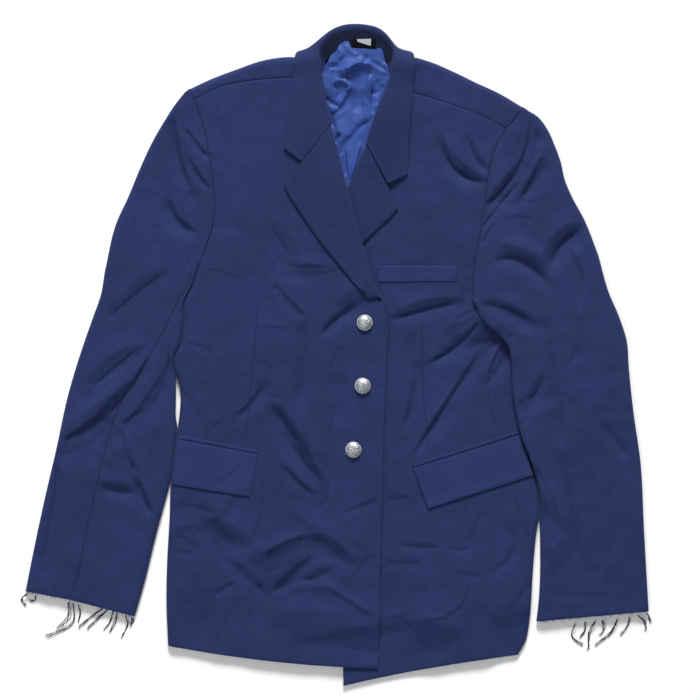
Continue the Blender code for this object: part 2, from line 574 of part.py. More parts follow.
def shoulder_return(edge, seam):
    """The back's cloth coming up over the shoulder fold, from under it to the shoulder seam."""
    width = math.dist(edge, seam)
    into = (np.array(seam) - np.array(edge)) / width
    reach = min(FOLD_REACH, 0.6 * width)
    angles = (-90, *WRAP_ANGLES, 90, 90, 90)
    flat = (width - SEAM_GAP / 2 - reach) / 2
    beyond = (0,) * (len(WRAP_ANGLES) + 2) + (flat, 2 * flat)
    turn = np.radians(angles)
    plan = np.array(edge) + np.outer(reach * (1 - np.cos(turn)) + beyond, into)
    high, low = garment_top(*plan.T), back_floor(*plan.T)
    outer = np.column_stack([plan, (high + low) / 2 + (high - low) / 2 * np.sin(turn)])
    normal = np.column_stack([np.outer(-np.cos(turn), into), np.sin(turn)])
    return outer, outer - CLOTH * normal


def armhole_edge(shoulder_fold, armhole):
    """From the shoulder fold to the shoulder seam's end and down the armhole."""
    return np.vstack([shoulder_fold, smooth_curve(armhole, ARMHOLE_ROWS + 1)])


def make_back():
    """The back, up to both shoulder seams; returns those two lines."""
    right_armhole = armhole_edge(RIGHT_SHOULDER_FOLD, RIGHT_ARMHOLE)
    left_armhole = armhole_edge(LEFT_SHOULDER_FOLD, LEFT_ARMHOLE)
    right = np.vstack([right_armhole[:-1], smooth_curve(RIGHT_SIDE, BODY_ROWS + 1)])
    left = np.vstack([left_armhole[:-1], smooth_curve(LEFT_SIDE, BODY_ROWS + 1)])
    rows = len(right)
    half_gap = seam_inset(rows, ARMHOLE_ROWS + 1)
    near, far = inset(right, left, half_gap), inset(left, right, half_gap)
    arch = smooth_curve(BACK_TOP, 200)
    seams = {-1: smooth_curve(RIGHT_SHOULDER_SEAM, 100), 1: smooth_curve(LEFT_SHOULDER_SEAM, 100)}
    roll = side_roll(ARMHOLE_ROWS + 1)
    first, _ = cross_section(near[0], far[0], garment_top, back_floor, -1, roll(0), roll(0), BACK_COLUMNS)
    edge_x = first[:, 0]
    edges = np.column_stack([edge_x, np.interp(edge_x, arch[:, 0], arch[:, 1])])
    returns = []
    for edge in edges:
        if NECK_FROM < edge[0] < NECK_TO:
            returns.append(None)
        elif edge[0] <= NECK_FROM:
            place = (edge[0] - edge_x[0]) / (NECK_FROM - edge_x[0])
            returns.append(shoulder_return(edge, seams[-1][round(99 * place)]))
        else:
            place = (edge[0] - NECK_TO) / (edge_x[-1] - NECK_TO)
            returns.append(shoulder_return(edge, seams[1][round(99 * place)]))
    heads = np.array([edge if back is None else back[0][0, :2] for edge, back in zip(edges, returns)])
    outer, inner = [], []
    for k in reversed(range(1, 8)):
        outer.append([None if back is None else back[0][k] for back in returns])
        inner.append([None if back is None else back[1][k] for back in returns])
    arch_shift = heads - first[:, :2]
    from_ends = np.minimum(edge_x - edge_x[0], edge_x[-1] - edge_x)
    for i in range(rows):
        shift = arch_shift * ease(1 - i / ARCH_ROWS)
        if i:
            shift = shift * ease(from_ends / ARCH_END)[:, None]
        out, into = cross_section(near[i], far[i], garment_top, back_floor, -1, roll(i), roll(i), BACK_COLUMNS,
                                  lambda share, by=shift: by)
        outer.append(out)
        inner.append(into)
    wall("back", outer, inner)
    seam_line = np.array([back[0][-1, :2] for back in returns if back is not None])
    right_of_neck = seam_line[:, 0] < 0
    return seam_line[right_of_neck], seam_line[~right_of_neck]


def make_right_sleeve():
    """Two pieces, each a strip folded round one edge of the laid sleeve; their seam shows on top."""
    outer_fold = join_curves(RIGHT_SLEEVE_OUTER_HEAD, ARMHOLE_ROWS + 1, RIGHT_SLEEVE_OUTER, SLEEVE_ROWS)
    armhole = armhole_edge(RIGHT_SHOULDER_FOLD, RIGHT_ARMHOLE)
    seam = smooth_curve(RIGHT_SLEEVE_SEAM, SLEEVE_ROWS + 1)
    top_seam = np.vstack([armhole[:-1], seam])
    top_edge = inset(top_seam, outer_fold, SEAM_GAP / 2)
    fold_width = np.linalg.norm(top_edge - outer_fold, axis=1)
    sheet("right_top_sleeve", outer_fold, top_edge, garment_top, flat_floor, 1,
          wraps(fold_width - UNDER_EDGE_BACK), always(CUT), 7)
    inner_fold = smooth_curve(RIGHT_SLEEVE_INNER, SLEEVE_ROWS + 1)
    under_seam = inset(seam, inner_fold, SEAM_GAP / 2)
    under_width = np.linalg.norm(under_seam - inner_fold, axis=1)
    sheet("right_under_sleeve", under_seam, inner_fold, garment_top, flat_floor, 1, always(CUT),
          wraps(under_width - UNDER_EDGE_BACK), 4)


def make_left_sleeve():
    """The top sleeve covers the whole upper face; the under sleeve lies beneath, over the body's side."""
    outer_fold = join_curves(LEFT_SLEEVE_OUTER_HEAD, ARMHOLE_ROWS + 1, LEFT_SLEEVE_OUTER, SLEEVE_ROWS)
    armhole = armhole_edge(LEFT_SHOULDER_FOLD, LEFT_ARMHOLE)
    inner_fold = np.vstack([armhole[:-1], smooth_curve(LEFT_SLEEVE_INNER, SLEEVE_ROWS + 1)])
    head = ARMHOLE_ROWS + 1
    near = inset(inner_fold, outer_fold, seam_inset(len(inner_fold), head))
    width = np.linalg.norm(near - outer_fold, axis=1)
    back_reach = np.maximum(LEFT_UNDER_SHARE * width, np.minimum(FOLD_REACH, 0.55 * width) + 0.4)
    sheet("left_top_sleeve", near, outer_fold, left_sleeve_top, left_sleeve_floor, 1, side_roll(head),
          wraps(back_reach), 8)
    under_far = inset(outer_fold, near, back_reach + SEAM_GAP)
    sheet("left_under_sleeve", near, under_far, left_sleeve_top, left_sleeve_floor, -1, side_roll(head),
          always(CUT), 4)


def lying_leaf(name, near_edge, far_edge, below, cloth, columns, gap=LAY_GAP, colour=NAVY):
    """A flat piece that lies on a panel: its points are the panel's, moved up."""
    shares = np.linspace(0, 1, columns)
    outer, inner = [], []
    for a, b in zip(near_edge, far_edge):
        plan = a + np.outer(shares, b - a)
        around = [below(plan[:, 0] + dx, plan[:, 1] + dy) for dx, dy in NEIGHBOURS]
        rest = np.max(around, axis=0) + gap
        outer.append(np.column_stack([plan, rest + cloth]))
        inner.append(np.column_stack([plan, rest]))
    return wall(name, outer, inner, colour)


def quad_leaf(name, corners, below, cloth, rows, columns, gap=LAY_GAP, colour=NAVY):
    """A four-cornered piece lying on a panel; corners go from the upper near one round."""
    corner = np.array(corners, float)
    shares = np.linspace(0, 1, rows)[:, None]
    near = corner[0] * (1 - shares) + corner[3] * shares
    far = corner[1] * (1 - shares) + corner[2] * shares
    return lying_leaf(name, near, far, below, cloth, columns, gap, colour)


def right_front_face(x, y):
    """The right front's top, falling away at the side fold."""
    side = np.interp(-y, -RIGHT_SIDE_CURVE[:, 1], RIGHT_SIDE_CURVE[:, 0])
    out = np.clip(1 - (x - side) / FOLD_REACH, 0, 0.97)
    high = garment_top(x, y)
    return high / 2 + high / 2 * np.sqrt(1 - out**2)


def lapel(name, table, below):
    """A lapel from its edge to its roll, which turns down over the front's cut edge."""
    edge = np.array([(row.edge_x, row.edge_y) for row in table], float)
    roll = np.array([(row.roll_x, row.roll_y) for row in table], float)
    outer, inner = [], []
    for a, b in zip(edge, roll):
        width = math.dist(a, b)
        along = (b - a) / width
        flat = np.linspace(0, width - LAPEL_TURN, 6)
        turn = np.radians([90, 90, 90, 90, 90, 90, 60, 30, 0])
        distance = np.concatenate([flat, width - LAPEL_TURN * (1 - np.cos(turn[6:]))])
        plan = a + np.outer(distance, along)
        around = [below(plan[:, 0] + dx, plan[:, 1] + dy) for dx, dy in NEIGHBOURS]
        front = np.max(around, axis=0)
        spring = LAPEL_SPRING * ease(distance / width)
        top = front + LAY_GAP + COLLAR_CLOTH + spring
        low = below(*plan.T) - CLOTH
        z = low + (top - low) * np.sin(turn)
        face = np.column_stack([plan, z])
        normal = np.column_stack([np.outer(np.cos(turn), along), np.sin(turn)])
        outer.append(face)
        inner.append(face - COLLAR_CLOTH * normal)
    return wall(name, outer, inner, DARK_NAVY)


def make_collar():
    """One band: leaf, roll and stand, swept round the neck."""
    rows = []
    for row in COLLAR:
        below = garment_top if row.ex < 30 else left_front_top
        leaf_z = LAY_GAP + COLLAR_CLOTH / 2
        ez = row.ez if row.ez is not None else float(below(row.ex, row.ey)) + leaf_z + LEAF_EDGE_LIFT
        rz = row.rz if row.rz is not None else float(below(row.rx, row.ry)) + leaf_z + LEAF_ROLL_LIFT
        towards = np.array([row.rx - row.ex, row.ry - row.ey])
        towards = towards / np.linalg.norm(towards)
        if row.sz is None:
            back = COLLAR_TURN + STAND_SET_BACK
            seam = [row.rx - back * towards[0], row.ry - back * towards[1], rz - 2 * COLLAR_TURN]
        else:
            seam = [row.sx, row.sy, row.sz]
        rows.append([row.ex, row.ey, ez, row.mx, row.my, row.rx, row.ry, rz, *seam, row.turn])
    sections = smooth_table(rows, COLLAR_STATIONS)
    middle = []
    for ex, ey, ez, mx, my, rx, ry, rz, sx, sy, sz, turn in sections:
        edge, roll, seam = np.array([ex, ey, ez]), np.array([rx, ry, rz]), np.array([sx, sy, sz])
        leaf_middle = np.array([mx, my, ez + (rz - ez) * LEAF_MIDDLE])
        along = roll - leaf_middle
        along /= np.linalg.norm(along)
        inward = np.array([0.0, -1.0, 0.0])
        way = math.cos(math.radians(turn)) * inward + math.sin(math.radians(turn)) * np.array([0, 0, 1.0])
        way -= along * np.dot(way, along)
        way /= np.linalg.norm(way)
        centre = roll - along * COLLAR_TURN + way * COLLAR_TURN
        arc = [
            centre + COLLAR_TURN * (along * math.cos(a) + way * math.sin(a))
            for a in np.radians([-90, -45, 0, 45, 90])
        ]
        stand = arc[-1]
        beside_roll = leaf_middle + (arc[0] - leaf_middle) * LEAF_MIDDLE
        leaf = [edge, (edge + leaf_middle) / 2, leaf_middle, beside_roll]
        middle.append([*leaf, *arc, (stand + seam) / 2, seam])
    middle = np.array(middle)
    across = np.gradient(middle, axis=1)
    down = np.gradient(middle, axis=0)
    normal = np.cross(across, down)
    normal /= np.linalg.norm(normal, axis=2)[:, :, None]
    half = COLLAR_CLOTH / 2
    faces = [middle + half * normal, middle - half * normal]
    for face in faces:
        face[:, :, 2] = np.maximum(face[:, :, 2], 0)
    wall("collar", *faces, DARK_NAVY)


def smooth_table(rows, count):
    """Rows evenly spaced along the roll of a table of sections."""
    table = np.array(rows, float)
    roll = table[:, 5:7]
    chord = np.concatenate([[0], np.cumsum(np.linalg.norm(np.diff(roll, axis=0), axis=1))])
    at = np.sort(np.unique(np.concatenate([chord, np.linspace(0, chord[-1], count)])))
    keep = [at[0]]
    for value in at[1:]:
        if value - keep[-1] > 0.35 * chord[-1] / count:
            keep.append(value)
    keep[-1] = chord[-1]
    at = np.array(keep)
    slope = np.gradient(table, chord, axis=0)
    k = np.clip(np.searchsorted(chord, at, side="right") - 1, 0, len(table) - 2)
    step = (chord[k + 1] - chord[k])[:, None]
    t = (at - chord[k])[:, None] / step
    return (
        (2 * t**3 - 3 * t**2 + 1) * table[k] + (t**3 - 2 * t**2 + t) * step * slope[k]
        + (3 * t**2 - 2 * t**3) * table[k + 1] + (t**3 - t**2) * step * slope[k + 1]
    )


def make_lining():
    table = smooth_curve(BACK_LINING, 9)
    near, far = table[:, [0, 2]], table[:, [1, 2]]
    lying_leaf("back_lining", near, far, lambda x, y: back_floor(x, y + 5) + CLOTH, LINING, 7, 0.7, ROYAL)


def make_button(name, x, y):
    """A domed metal button, turned about its middle."""
    radius = BUTTON_ACROSS / 2
    ring = np.linspace(0, 2 * math.pi, 9)[:-1]
    base = float(np.max(garment_top(x + radius * np.cos(ring), y + radius * np.sin(ring)))) + SEAM_GAP
    profile = [(radius - RIM_SLOPE, 0.0), (radius, RIM_BASE), (radius, RIM_TOP)]
    for share, angle in DOME:
        profile.append((radius * share, RIM_TOP + (BUTTON_HIGH - RIM_TOP) * math.sin(math.radians(angle))))
    turns = np.linspace(0, 2 * math.pi, BUTTON_SIDES + 1)[:-1]
    points = [(x + r * math.cos(t), y + r * math.sin(t), base + z) for r, z in profile for t in turns]
    faces = [list(reversed(range(BUTTON_SIDES)))]
    for k in range(len(profile) - 1):
        for j in range(BUTTON_SIDES):
            n = (j + 1) % BUTTON_SIDES
            low, high = k * BUTTON_SIDES, (k + 1) * BUTTON_SIDES
            faces.append([low + j, low + n, high + n, high + j])
    crown = len(points)
    points.append((x, y, base + BUTTON_HIGH))
    last = (len(profile) - 1) * BUTTON_SIDES
    faces += [[last + j, last + (j + 1) % BUTTON_SIDES, crown] for j in range(BUTTON_SIDES)]
    add_object(name, points, faces, SILVER, 0.38, 0.9)


def stand_top(x, y):
    """Upper face of the collar's stand behind the neck."""
    return np.interp(y, STAND_Y, STAND_HIGH) + 0 * x


def make_fringe(name, cuff, threads):
    """A narrow strip just outside the cut edge, with the loose threads grown from it."""
    corners = np.array(cuff, float)
    along = np.diff(corners, axis=0) / np.linalg.norm(np.diff(corners, axis=0), axis=1)[:, None]
    out = np.column_stack([along[:, 1], -along[:, 0]])
    out *= -np.sign(out[:, 1])[:, None]
    mean = np.vstack([out[:1], (out[1:] + out[:-1]) / 2, out[-1:]])
    near, far = corners + STRIP_OFF * mean, corners + (STRIP_OFF + STRIP_WIDE) * mean
    points, faces = [], []
    for inner, outer in zip(near, far):
        points += [(*inner, STRIP_LIFT), (*outer, STRIP_LIFT), (*outer, STRIP_TOP), (*inner, STRIP_TOP)]
    prism(faces, 0, len(near), 4)
    backing = add_object(name, points, faces, NAVY, 0.9)
    centre = (near + far) / 2
    line = np.vstack([np.linspace(a, b, 60) for a, b in zip(centre, centre[1:])])
    points, faces = [], []
    for thread in threads:
        start = len(points)
        spots = [(thread.x1, thread.y1), (thread.x2, thread.y2), (thread.x3, thread.y3)]
        route = smooth_curve(spots, THREAD_RINGS)
        root = line[np.argmin(np.linalg.norm(line - route[0], axis=1))]
        route = np.vstack([root, route[1:]])
        way = np.gradient(route, axis=0)
        way /= np.linalg.norm(way, axis=1)[:, None]
        half = THREAD_WIDTH / 2 * np.linspace(1, THREAD_TAPER, len(route))
        for spot, (x, y), wide in zip(route, way, half):
            side = np.array([-y, x]) * wide
            crest = THREAD_LIFT + THREAD_CREST * wide
            points += [(*(spot - side), THREAD_LIFT), (*(spot + side), THREAD_LIFT), (*spot, crest)]
        prism(faces, start, len(route), 3)
    loose = add_object(name + "_threads", points, faces, NAVY, 0.9)
    union = backing.modifiers.new("threads", "BOOLEAN")
    union.operation = "UNION"
    union.solver = "EXACT"
    union.use_self = True
    union.object = loose
    bpy.context.view_layer.update()
    whole = bpy.data.meshes.new_from_object(backing.evaluated_get(bpy.context.evaluated_depsgraph_get()))
    backing.modifiers.remove(union)
    backing.data = whole
    bpy.data.objects.remove(loose)


def prism(faces, start, count, sides):
    """Faces of a run of rings, closed at both ends."""
    for k in range(count - 1):
        for j in range(sides):
            n = (j + 1) % sides
            a, b = start + k * sides, start + (k + 1) * sides
            faces.append([a + j, a + n, b + n, b + j])
    faces.append([start + j for j in reversed(range(sides))])
    faces.append([start + (count - 1) * sides + j for j in range(sides)])


def clear_scene():
    for thing in list(bpy.data.objects):
        bpy.data.objects.remove(thing, do_unlink=True)


clear_scene()
right_shoulder_seam, left_shoulder_seam = make_back()
make_right_front(right_shoulder_seam)
make_left_front(left_shoulder_seam)
make_right_sleeve()
make_left_sleeve()
lapel("right_lapel", RIGHT_LAPEL, garment_top)
lapel("left_lapel", LEFT_LAPEL, left_front_top)
make_collar()
make_lining()
quad_leaf("right_pocket_jet", RIGHT_JET, right_front_face, JET_CLOTH, 3, 8, 0.5)
quad_leaf("right_pocket_flap", RIGHT_FLAP, right_front_face, FLAP_CLOTH, 6, 9)
quad_leaf("left_pocket_jet", LEFT_JET, left_front_top, JET_CLOTH, 3, 11, 0.5)
quad_leaf("left_pocket_flap", LEFT_FLAP, left_front_top, FLAP_CLOTH, 6, 11)
quad_leaf("breast_welt", BREAST_WELT, left_front_top, FLAP_CLOTH, 3, 8, 0.5)
for number, (x, y) in enumerate(BUTTONS, 1):
    make_button(f"button_{number}", x, y)
quad_leaf("neck_label", LABEL, stand_top, LABEL_CLOTH, 3, 4, 0.4, WHITE)
right_cuff = [RIGHT_SLEEVE_OUTER[-1], RIGHT_SLEEVE_SEAM[-1], RIGHT_SLEEVE_INNER[-1]]
make_fringe("right_cuff_fringe", right_cuff, RIGHT_CUFF_THREADS)
make_fringe("left_cuff_fringe", [LEFT_SLEEVE_INNER[-1], LEFT_SLEEVE_OUTER[-1]], LEFT_CUFF_THREADS)
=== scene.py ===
"""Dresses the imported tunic: its folded cloth, the lining, buttons and loose threads, and the stage.

X runs to the wearer's left, Y from the hem to the collar and Z up from the table. The tables hold
millimetres. Right and left are the wearer's.
"""

import math
from collections import namedtuple

import bmesh
import bpy
import numpy as np
from bpy.props import FloatProperty, FloatVectorProperty, PointerProperty
from bpy.types import Operator, Panel, PropertyGroup
from mathutils import Matrix, Vector


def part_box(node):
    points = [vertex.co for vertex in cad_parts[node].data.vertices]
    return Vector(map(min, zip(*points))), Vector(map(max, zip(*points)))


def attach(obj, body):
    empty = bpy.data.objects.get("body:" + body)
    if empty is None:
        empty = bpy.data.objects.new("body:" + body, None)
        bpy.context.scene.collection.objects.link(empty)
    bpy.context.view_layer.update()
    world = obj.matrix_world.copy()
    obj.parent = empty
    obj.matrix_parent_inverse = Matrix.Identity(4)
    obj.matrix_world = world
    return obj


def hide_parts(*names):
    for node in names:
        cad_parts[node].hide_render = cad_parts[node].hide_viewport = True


bl_info = {
    "name": "Laid dress tunic",
    "version": (1, 0, 0),
    "blender": (4, 5, 0),
    "location": "View3D > Sidebar > Tunic",
    "description": "Builds the cloth, buttons, threads and stage of a tunic laid flat",
    "category": "Object",
}

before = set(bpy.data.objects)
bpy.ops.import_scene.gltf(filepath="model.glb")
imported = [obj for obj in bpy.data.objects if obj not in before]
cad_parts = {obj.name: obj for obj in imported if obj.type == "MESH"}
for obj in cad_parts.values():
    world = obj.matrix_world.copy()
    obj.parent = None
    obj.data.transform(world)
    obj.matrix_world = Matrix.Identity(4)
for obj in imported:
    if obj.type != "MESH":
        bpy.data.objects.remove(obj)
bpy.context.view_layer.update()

MM = 0.001

# The cloth's thicknesses and gaps, in millimetres as all sizes here unless they say otherwise
CLOTH = 2.0             # shell cloth with its interlining and lining
LINING = 0.8            # satin lining on its own
COLLAR_CLOTH = 2.4      # two layers of cloth with canvas between
JET_CLOTH = 1.0
FLAP_CLOTH = 1.3
WELT_CLOTH = 0.8
LABEL_CLOTH = 0.4
SEAM_GAP = 0.4          # between two pieces at a seam
UNDER_LAP = 0.6         # underneath, a seam lies this far from where it shows on top
TOUCH_GAP = 0.06        # between a sleeve's edge and the side of the body where they touch
TIP_GAP = 0.15          # share of a seam's gap that is left at the shoulder's tip
LAY_GAP = 0.8           # under a piece that lies on a panel
TRIM_GAP = 0.3          # under a jet or a flap
WELT_GAP = 0.15
LABEL_GAP = 0.4         # under the label's backing, and then between it and the label
LABEL_ON_BACKING = 0.15
REST_CLEAR = 0.25       # what lies on a panel clears its creases by this
RIDGE_CLEAR = 0.2       # and its highest ridges by this

# How cloth turns at its edges
FOLD_REACH = 7.0        # how far in from a side fold its curve reaches
FOLD_SHARE = 0.55       # but no more than this share of the piece's width
SHOULDER_SHARE = 0.6
WIDEST_OUT = 0.97       # share of a side fold's reach at which what lies on it stops falling away
COLLAR_TURN = 2.65      # radius of the collar's roll, at the middle of its cloth
COLLAR_SET_BACK = 0.9
COLLAR_EDGE_LIFT, COLLAR_ROLL_LIFT = 0.4, 0.9   # above where the leaf would lie quite flat
COLLAR_LEAST_LIFT = 0.6     # share of the gap below that it keeps everywhere
LEAF_MIDDLE = 0.55          # share of the roll's height at the middle of the leaf
ON_FRONT_TURN = (-35, 20)   # degrees of turn below which the leaf lies on a front
ROLL_SET_BACK = 4.3     # a front's cut edge lies this far inside the lapel's roll
RIGHT_LAPEL_END, LEFT_LAPEL_END, LAPEL_END_EASE = 2.8, 0.4, 1.2   # in sections below the armhole
LAPEL_TURN = 4.0        # radius of a lapel's roll
LAPEL_SPRING = 0.8      # how much higher a lapel stands at its roll
LAPEL_UNDER = 0.6       # share of its height that its roll goes on down
ROLL_ANGLES = (0, 15, 30, 45, 60, 75)
WRAP_ANGLES = (-75, -60, -45, -30, -15, 0, 15, 30, 45, 60, 75)
CUT_STOPS = (0.0, 0.6, 1.6)
AFTER_CUT = 1.2         # from a cut edge's last stop to the first column inside
EDGE_DIP = 0.8          # how far a face sinks at its cut edges and seams
EDGE_ROUND = 1.3
LEAF_ROUND = 0.4        # share of its cloth that a lying piece thins by at its edge
LEAF_EASE = 0.9
LAPEL_EASE = 1.1
COLLAR_ROUND = 0.55
CURL_LENGTH = 12        # how far up from its lower edge a flap curls
SHARP_ANGLE = 50        # degrees past which an edge of cloth isn't smoothed

# How high one layer lies over another
STEP_AT_OVERLAP = 4.4   # how far the left front lies below the right one
STEP_AT_LAPELS = 7.3
LAPELS_AT, LAPELS_REACH = (22, 158), (52, 84)
LOWEST_TOP = 2 * CLOTH + 0.7
SLEEVE_LEAST = 2 * CLOTH + 1.0
SLEEVE_ON_BODY = 1.4    # between the body's upper face and the left sleeve's underside
FLAP_UNDER_SLEEVE = 2.8
LEAF_UNDER_BACK = 3.2   # the collar's leaf under the back
LEFT_UNDER_SHARE = 0.26    # share of its width that the left top sleeve comes back underneath
UNDER_CLEAR = 0.4
LEFT_SLEEVE_OFF_BODY = -129   # below this Y the left sleeve lies beside the body, not on it
NECK_SIDE_X = 30        # the collar lies on the right front up to this X, and on the left one past it

# Where such a height starts or ends, and the length over which it does
FRONT_EDGE = (52, 12)
COVERED_END = (66, 60)
STEP_END = (250, 50)
SLEEVE_SIDE = (2, 20)
SLEEVE_REST_TOP, SLEEVE_REST_FOOT = (92, 30), (-160, 34)
FLAP_FOOT, FLAP_TOP = (-178, 20), (-70, 20)
LEAF_FOOT, LEAF_RIGHT, LEAF_LEFT = (310, 14), (-66, 16), (112, 16)

# Creases and ripples
LIGHT_WAY = (0.05, 1.0)     # from the hem towards the collar
RIPPLES = [(70, 0.18, 4), (34, 0.10, 5), (19, 0.05, 5)]   # length, rise and number of low waves
RIPPLE_BEND, RIPPLE_STRETCH, RIPPLE_SWERVE = (0.4, 0.9), (0.75, 1.35), 0.35
FOLD_ENDS, FOLD_END_LEAST, FOLD_SOFT = 0.3, 0.25, 0.35
CREASE_ENDS, CREASE_LINE, CREASE_LINE_REACH, CREASE_LINE_POWER = 0.22, 0.45, 0.55, 1.2
FACET_POINT = 0.60          # how bluntly a fold's flat side ends, 1 being a lens
FACET_EASE = 5.0            # least distance over which a fold's flat side eases off

# How finely each piece is made
ARMHOLE_ROWS = 11           # sections of the pattern along each long edge
BODY_ROWS = 20
SLEEVE_ROWS = 15
ARCH_ROWS = 9               # sections over which the back's top arch fades
SPLIT = 11                  # rows of points for each section of the pattern
CURVE_POINTS = 24           # for each point that a curve goes through
RUN_POINTS = 9              # along a fold
SIDE_POINTS = 500
BACK_COLUMNS = 130
BACK_ROW_STEP = 5
FRONT_COLUMNS = 104
SLEEVE_COLUMNS = 54
UNDER_SLEEVE_COLUMNS = 30
UNDER_COLUMNS = 9           # where cloth comes back underneath
RETURN_FLATS = 8
TRIM_SPACING = 2.2
LABEL_SPACING = 1.2
COLLAR_STATIONS = 110
LINING_ROWS, LINING_COLUMNS = 120, 70

# The lining behind the neck
LINING_DEPTH = 1.5          # how much deeper its folds are than their table says
LINING_FLOOR, LINING_LOW, LINING_FULL = 0.7, 0.4, 2.2
LINING_MIDDLE, LINING_LEAN, LINING_HALF = (24, 260), 0.1, 60   # of its folds, which die out beside it
LINING_EDGE = (2, 3.5)      # they end that far past its upper edge, over that length
LEAF_BELOW = 5              # how far the back's rise over the leaf shows through it, towards the hem
LINING_CLIMB = 340          # above this Y the lining runs up over the stand
LINING_LIFT = 0.5
STAND_EDGE_HIGH, STAND_EDGE_DROP, STAND_EDGE_X, STAND_EDGE_HALF = 363.5, 13.5, 25, 36
STAND_CLIMB = (9, 8)        # how far below the stand's edge the climb starts, and over what length
STAND_SIDES = (-11, 61, 5)

# Loose threads
FUZZ_THREADS = 90
STRANDS = 3                 # of each long yarn
STRAND_SCATTER, STRAND_SPREAD = 1.2, [[0.4], [0.7], [1.3]]   # the spread at its root, bend and tip
STRAND_RADII = (0.46, 0.62)
STRAND_START, FUZZ_START = 4.4, 3.0        # height above the table
FUZZ_RADIUS, FUZZ_LENGTHS = 0.2, (1.0, 3.0)
FUZZ_LEAN, FUZZ_TIP, FUZZ_BEND = 0.5, 0.8, 0.4
STRAND_STEP, STRAND_WIGGLE, STRAND_HOPS, STRAND_HOP_HIGH = 1.6, 0.28, (5, 9), 0.5
STRAND_FALL, STRAND_THINS = 2.2, 0.35      # how soon it reaches the table, and how much thinner its tip is
STRAND_TURNS = tuple(k * 2 * math.pi / 3 + math.pi / 2 for k in range(3))

# Buttons, in millimetres or as shares of the button's radius
BUTTON_HIGH = 6.4
BUTTON_TURNS = (8, -20, 31)   # degrees that each button has turned on its shank
DOME_FOOT, DOME_RADIUS = 1.6, 0.93
RIM_THICK, RIM_MIDDLE, RIM_INSET, RIM_ROUND = 1.8, 1.0, 0.05, 0.4
ROPE_TURNS, ROPE_RADIUS, ROPE_THICK, ROPE_AT, BEAD_SIZE, BEAD_AT = 40, 0.88, 0.42, 2.6, 0.52, 2.8
PETALS = ((8, 0.50, 0.19, 0.085, 0.0), (8, 0.27, 0.13, 0.07, 22.5))   # count, reach, long, wide, turn
PETAL_HIGH, PETAL_LEAN, BOSS_RADIUS, BOSS_SINK = 0.075, 62, 0.11, 0.1

# Tones beside the wool, some of them painted light and shade, and its weave
TONE_SHARE, YARN_SHARE, TWILL_SHARE, TONE_LEVEL = 0.85, 0.9, 0.12, 0.43
WOOL_DARK, WOOL_LIGHT = 0.62, 1.42
TWILL_ANGLE = 63
TWILL_SCALE = 349.0         # gives ribs 0.9 mm apart
FACING_SHADE_TONE = 0.93          # a darker copy of the wool, painted shade on the collar and the lapels
# painted light: the jets, flaps and breast welt take a lighter copy of the wool
POCKET_LIGHT_TONE = 1.12
# painted shade: the loose threads take a darker copy of the wool
YARN_SHADE_TONE = 0.45
SEAM_TONE, SEAM_SHADE = 0.3, 0.4      # a dart's line, and how much of it shows
STAND_SHADE_TONE = 0.30           # painted shade on the stand's inside, round the label, standing in for the shadow under the collar's roll
STAND_SHADE_AT, STAND_SHADE_REACH = (26, 360), (46, 31)

# The camera and the lights
PHOTO_PIXELS = 700
PIXEL = 1.19                # millimetres for each pixel of the photograph
ORIGIN_PIXEL = (335, 355.5)
SENSOR = 36.0
CAMERA_HIGH = 3.0           # in metres, as the next
CLOTH_LEVEL = 0.010
WORLD_STRENGTH = 0.30
FILL_SHARE = 0.055

Spot = namedtuple("Spot", "x y high")
Fold = namedtuple("Fold", "x1 y1 x2 y2 x3 y3 rise left right")
End = namedtuple("End", "kind amount")
CUT = End("cut", 0)

# How high the top of the laid garment stands, from place to place
LOFT = [Spot(*row) for row in (
    (-168, 300, 10), (-100, 320, 13), (-30, 335, 14), (90, 320, 14), (190, 275, 11),
    (-130, 210, 12), (20, 250, 14), (130, 200, 12.5), (20, 150, 14.5), (-150, 110, 11.5),
    (-60, 110, 12), (150, 110, 12), (55, 60, 12), (-175, 20, 10), (-60, 0, 12), (60, 0, 11.5),
    (190, 10, 9.5), (-180, -100, 9), (0, -120, 11), (210, -100, 9), (-185, -230, 9),
    (0, -240, 11), (215, -230, 9), (-185, -340, 8), (0, -365, 9.5), (110, -360, 8.5),
    (215, -340, 8), (-230, 190, 10), (-285, 30, 10), (-225, 40, 11), (-320, -110, 9.5),
    (-220, -110, 9.5), (-345, -270, 8), (-250, -300, 8),
)]
LEFT_SLEEVE_LOFT = [Spot(*row) for row in (
    (228, 290, 9), (195, 250, 11.5), (178, 190, 12.5), (168, 120, 13.5), (168, 70, 16.5),
    (190, 35, 18), (210, 0, 18), (216, -60, 17.5), (226, -100, 17), (240, -135, 15),
    (248, -175, 11), (246, -240, 9), (242, -310, 8), (262, 240, 10), (290, 165, 10.5),
    (325, 70, 10.5), (350, -60, 10), (368, -200, 9), (372, -300, 8), (235, 150, 14.5),
    (255, 60, 14.5), (275, -60, 13), (300, -190, 10.5), (305, -300, 8.5),
)]
LOFT_SPREAD = 48.0

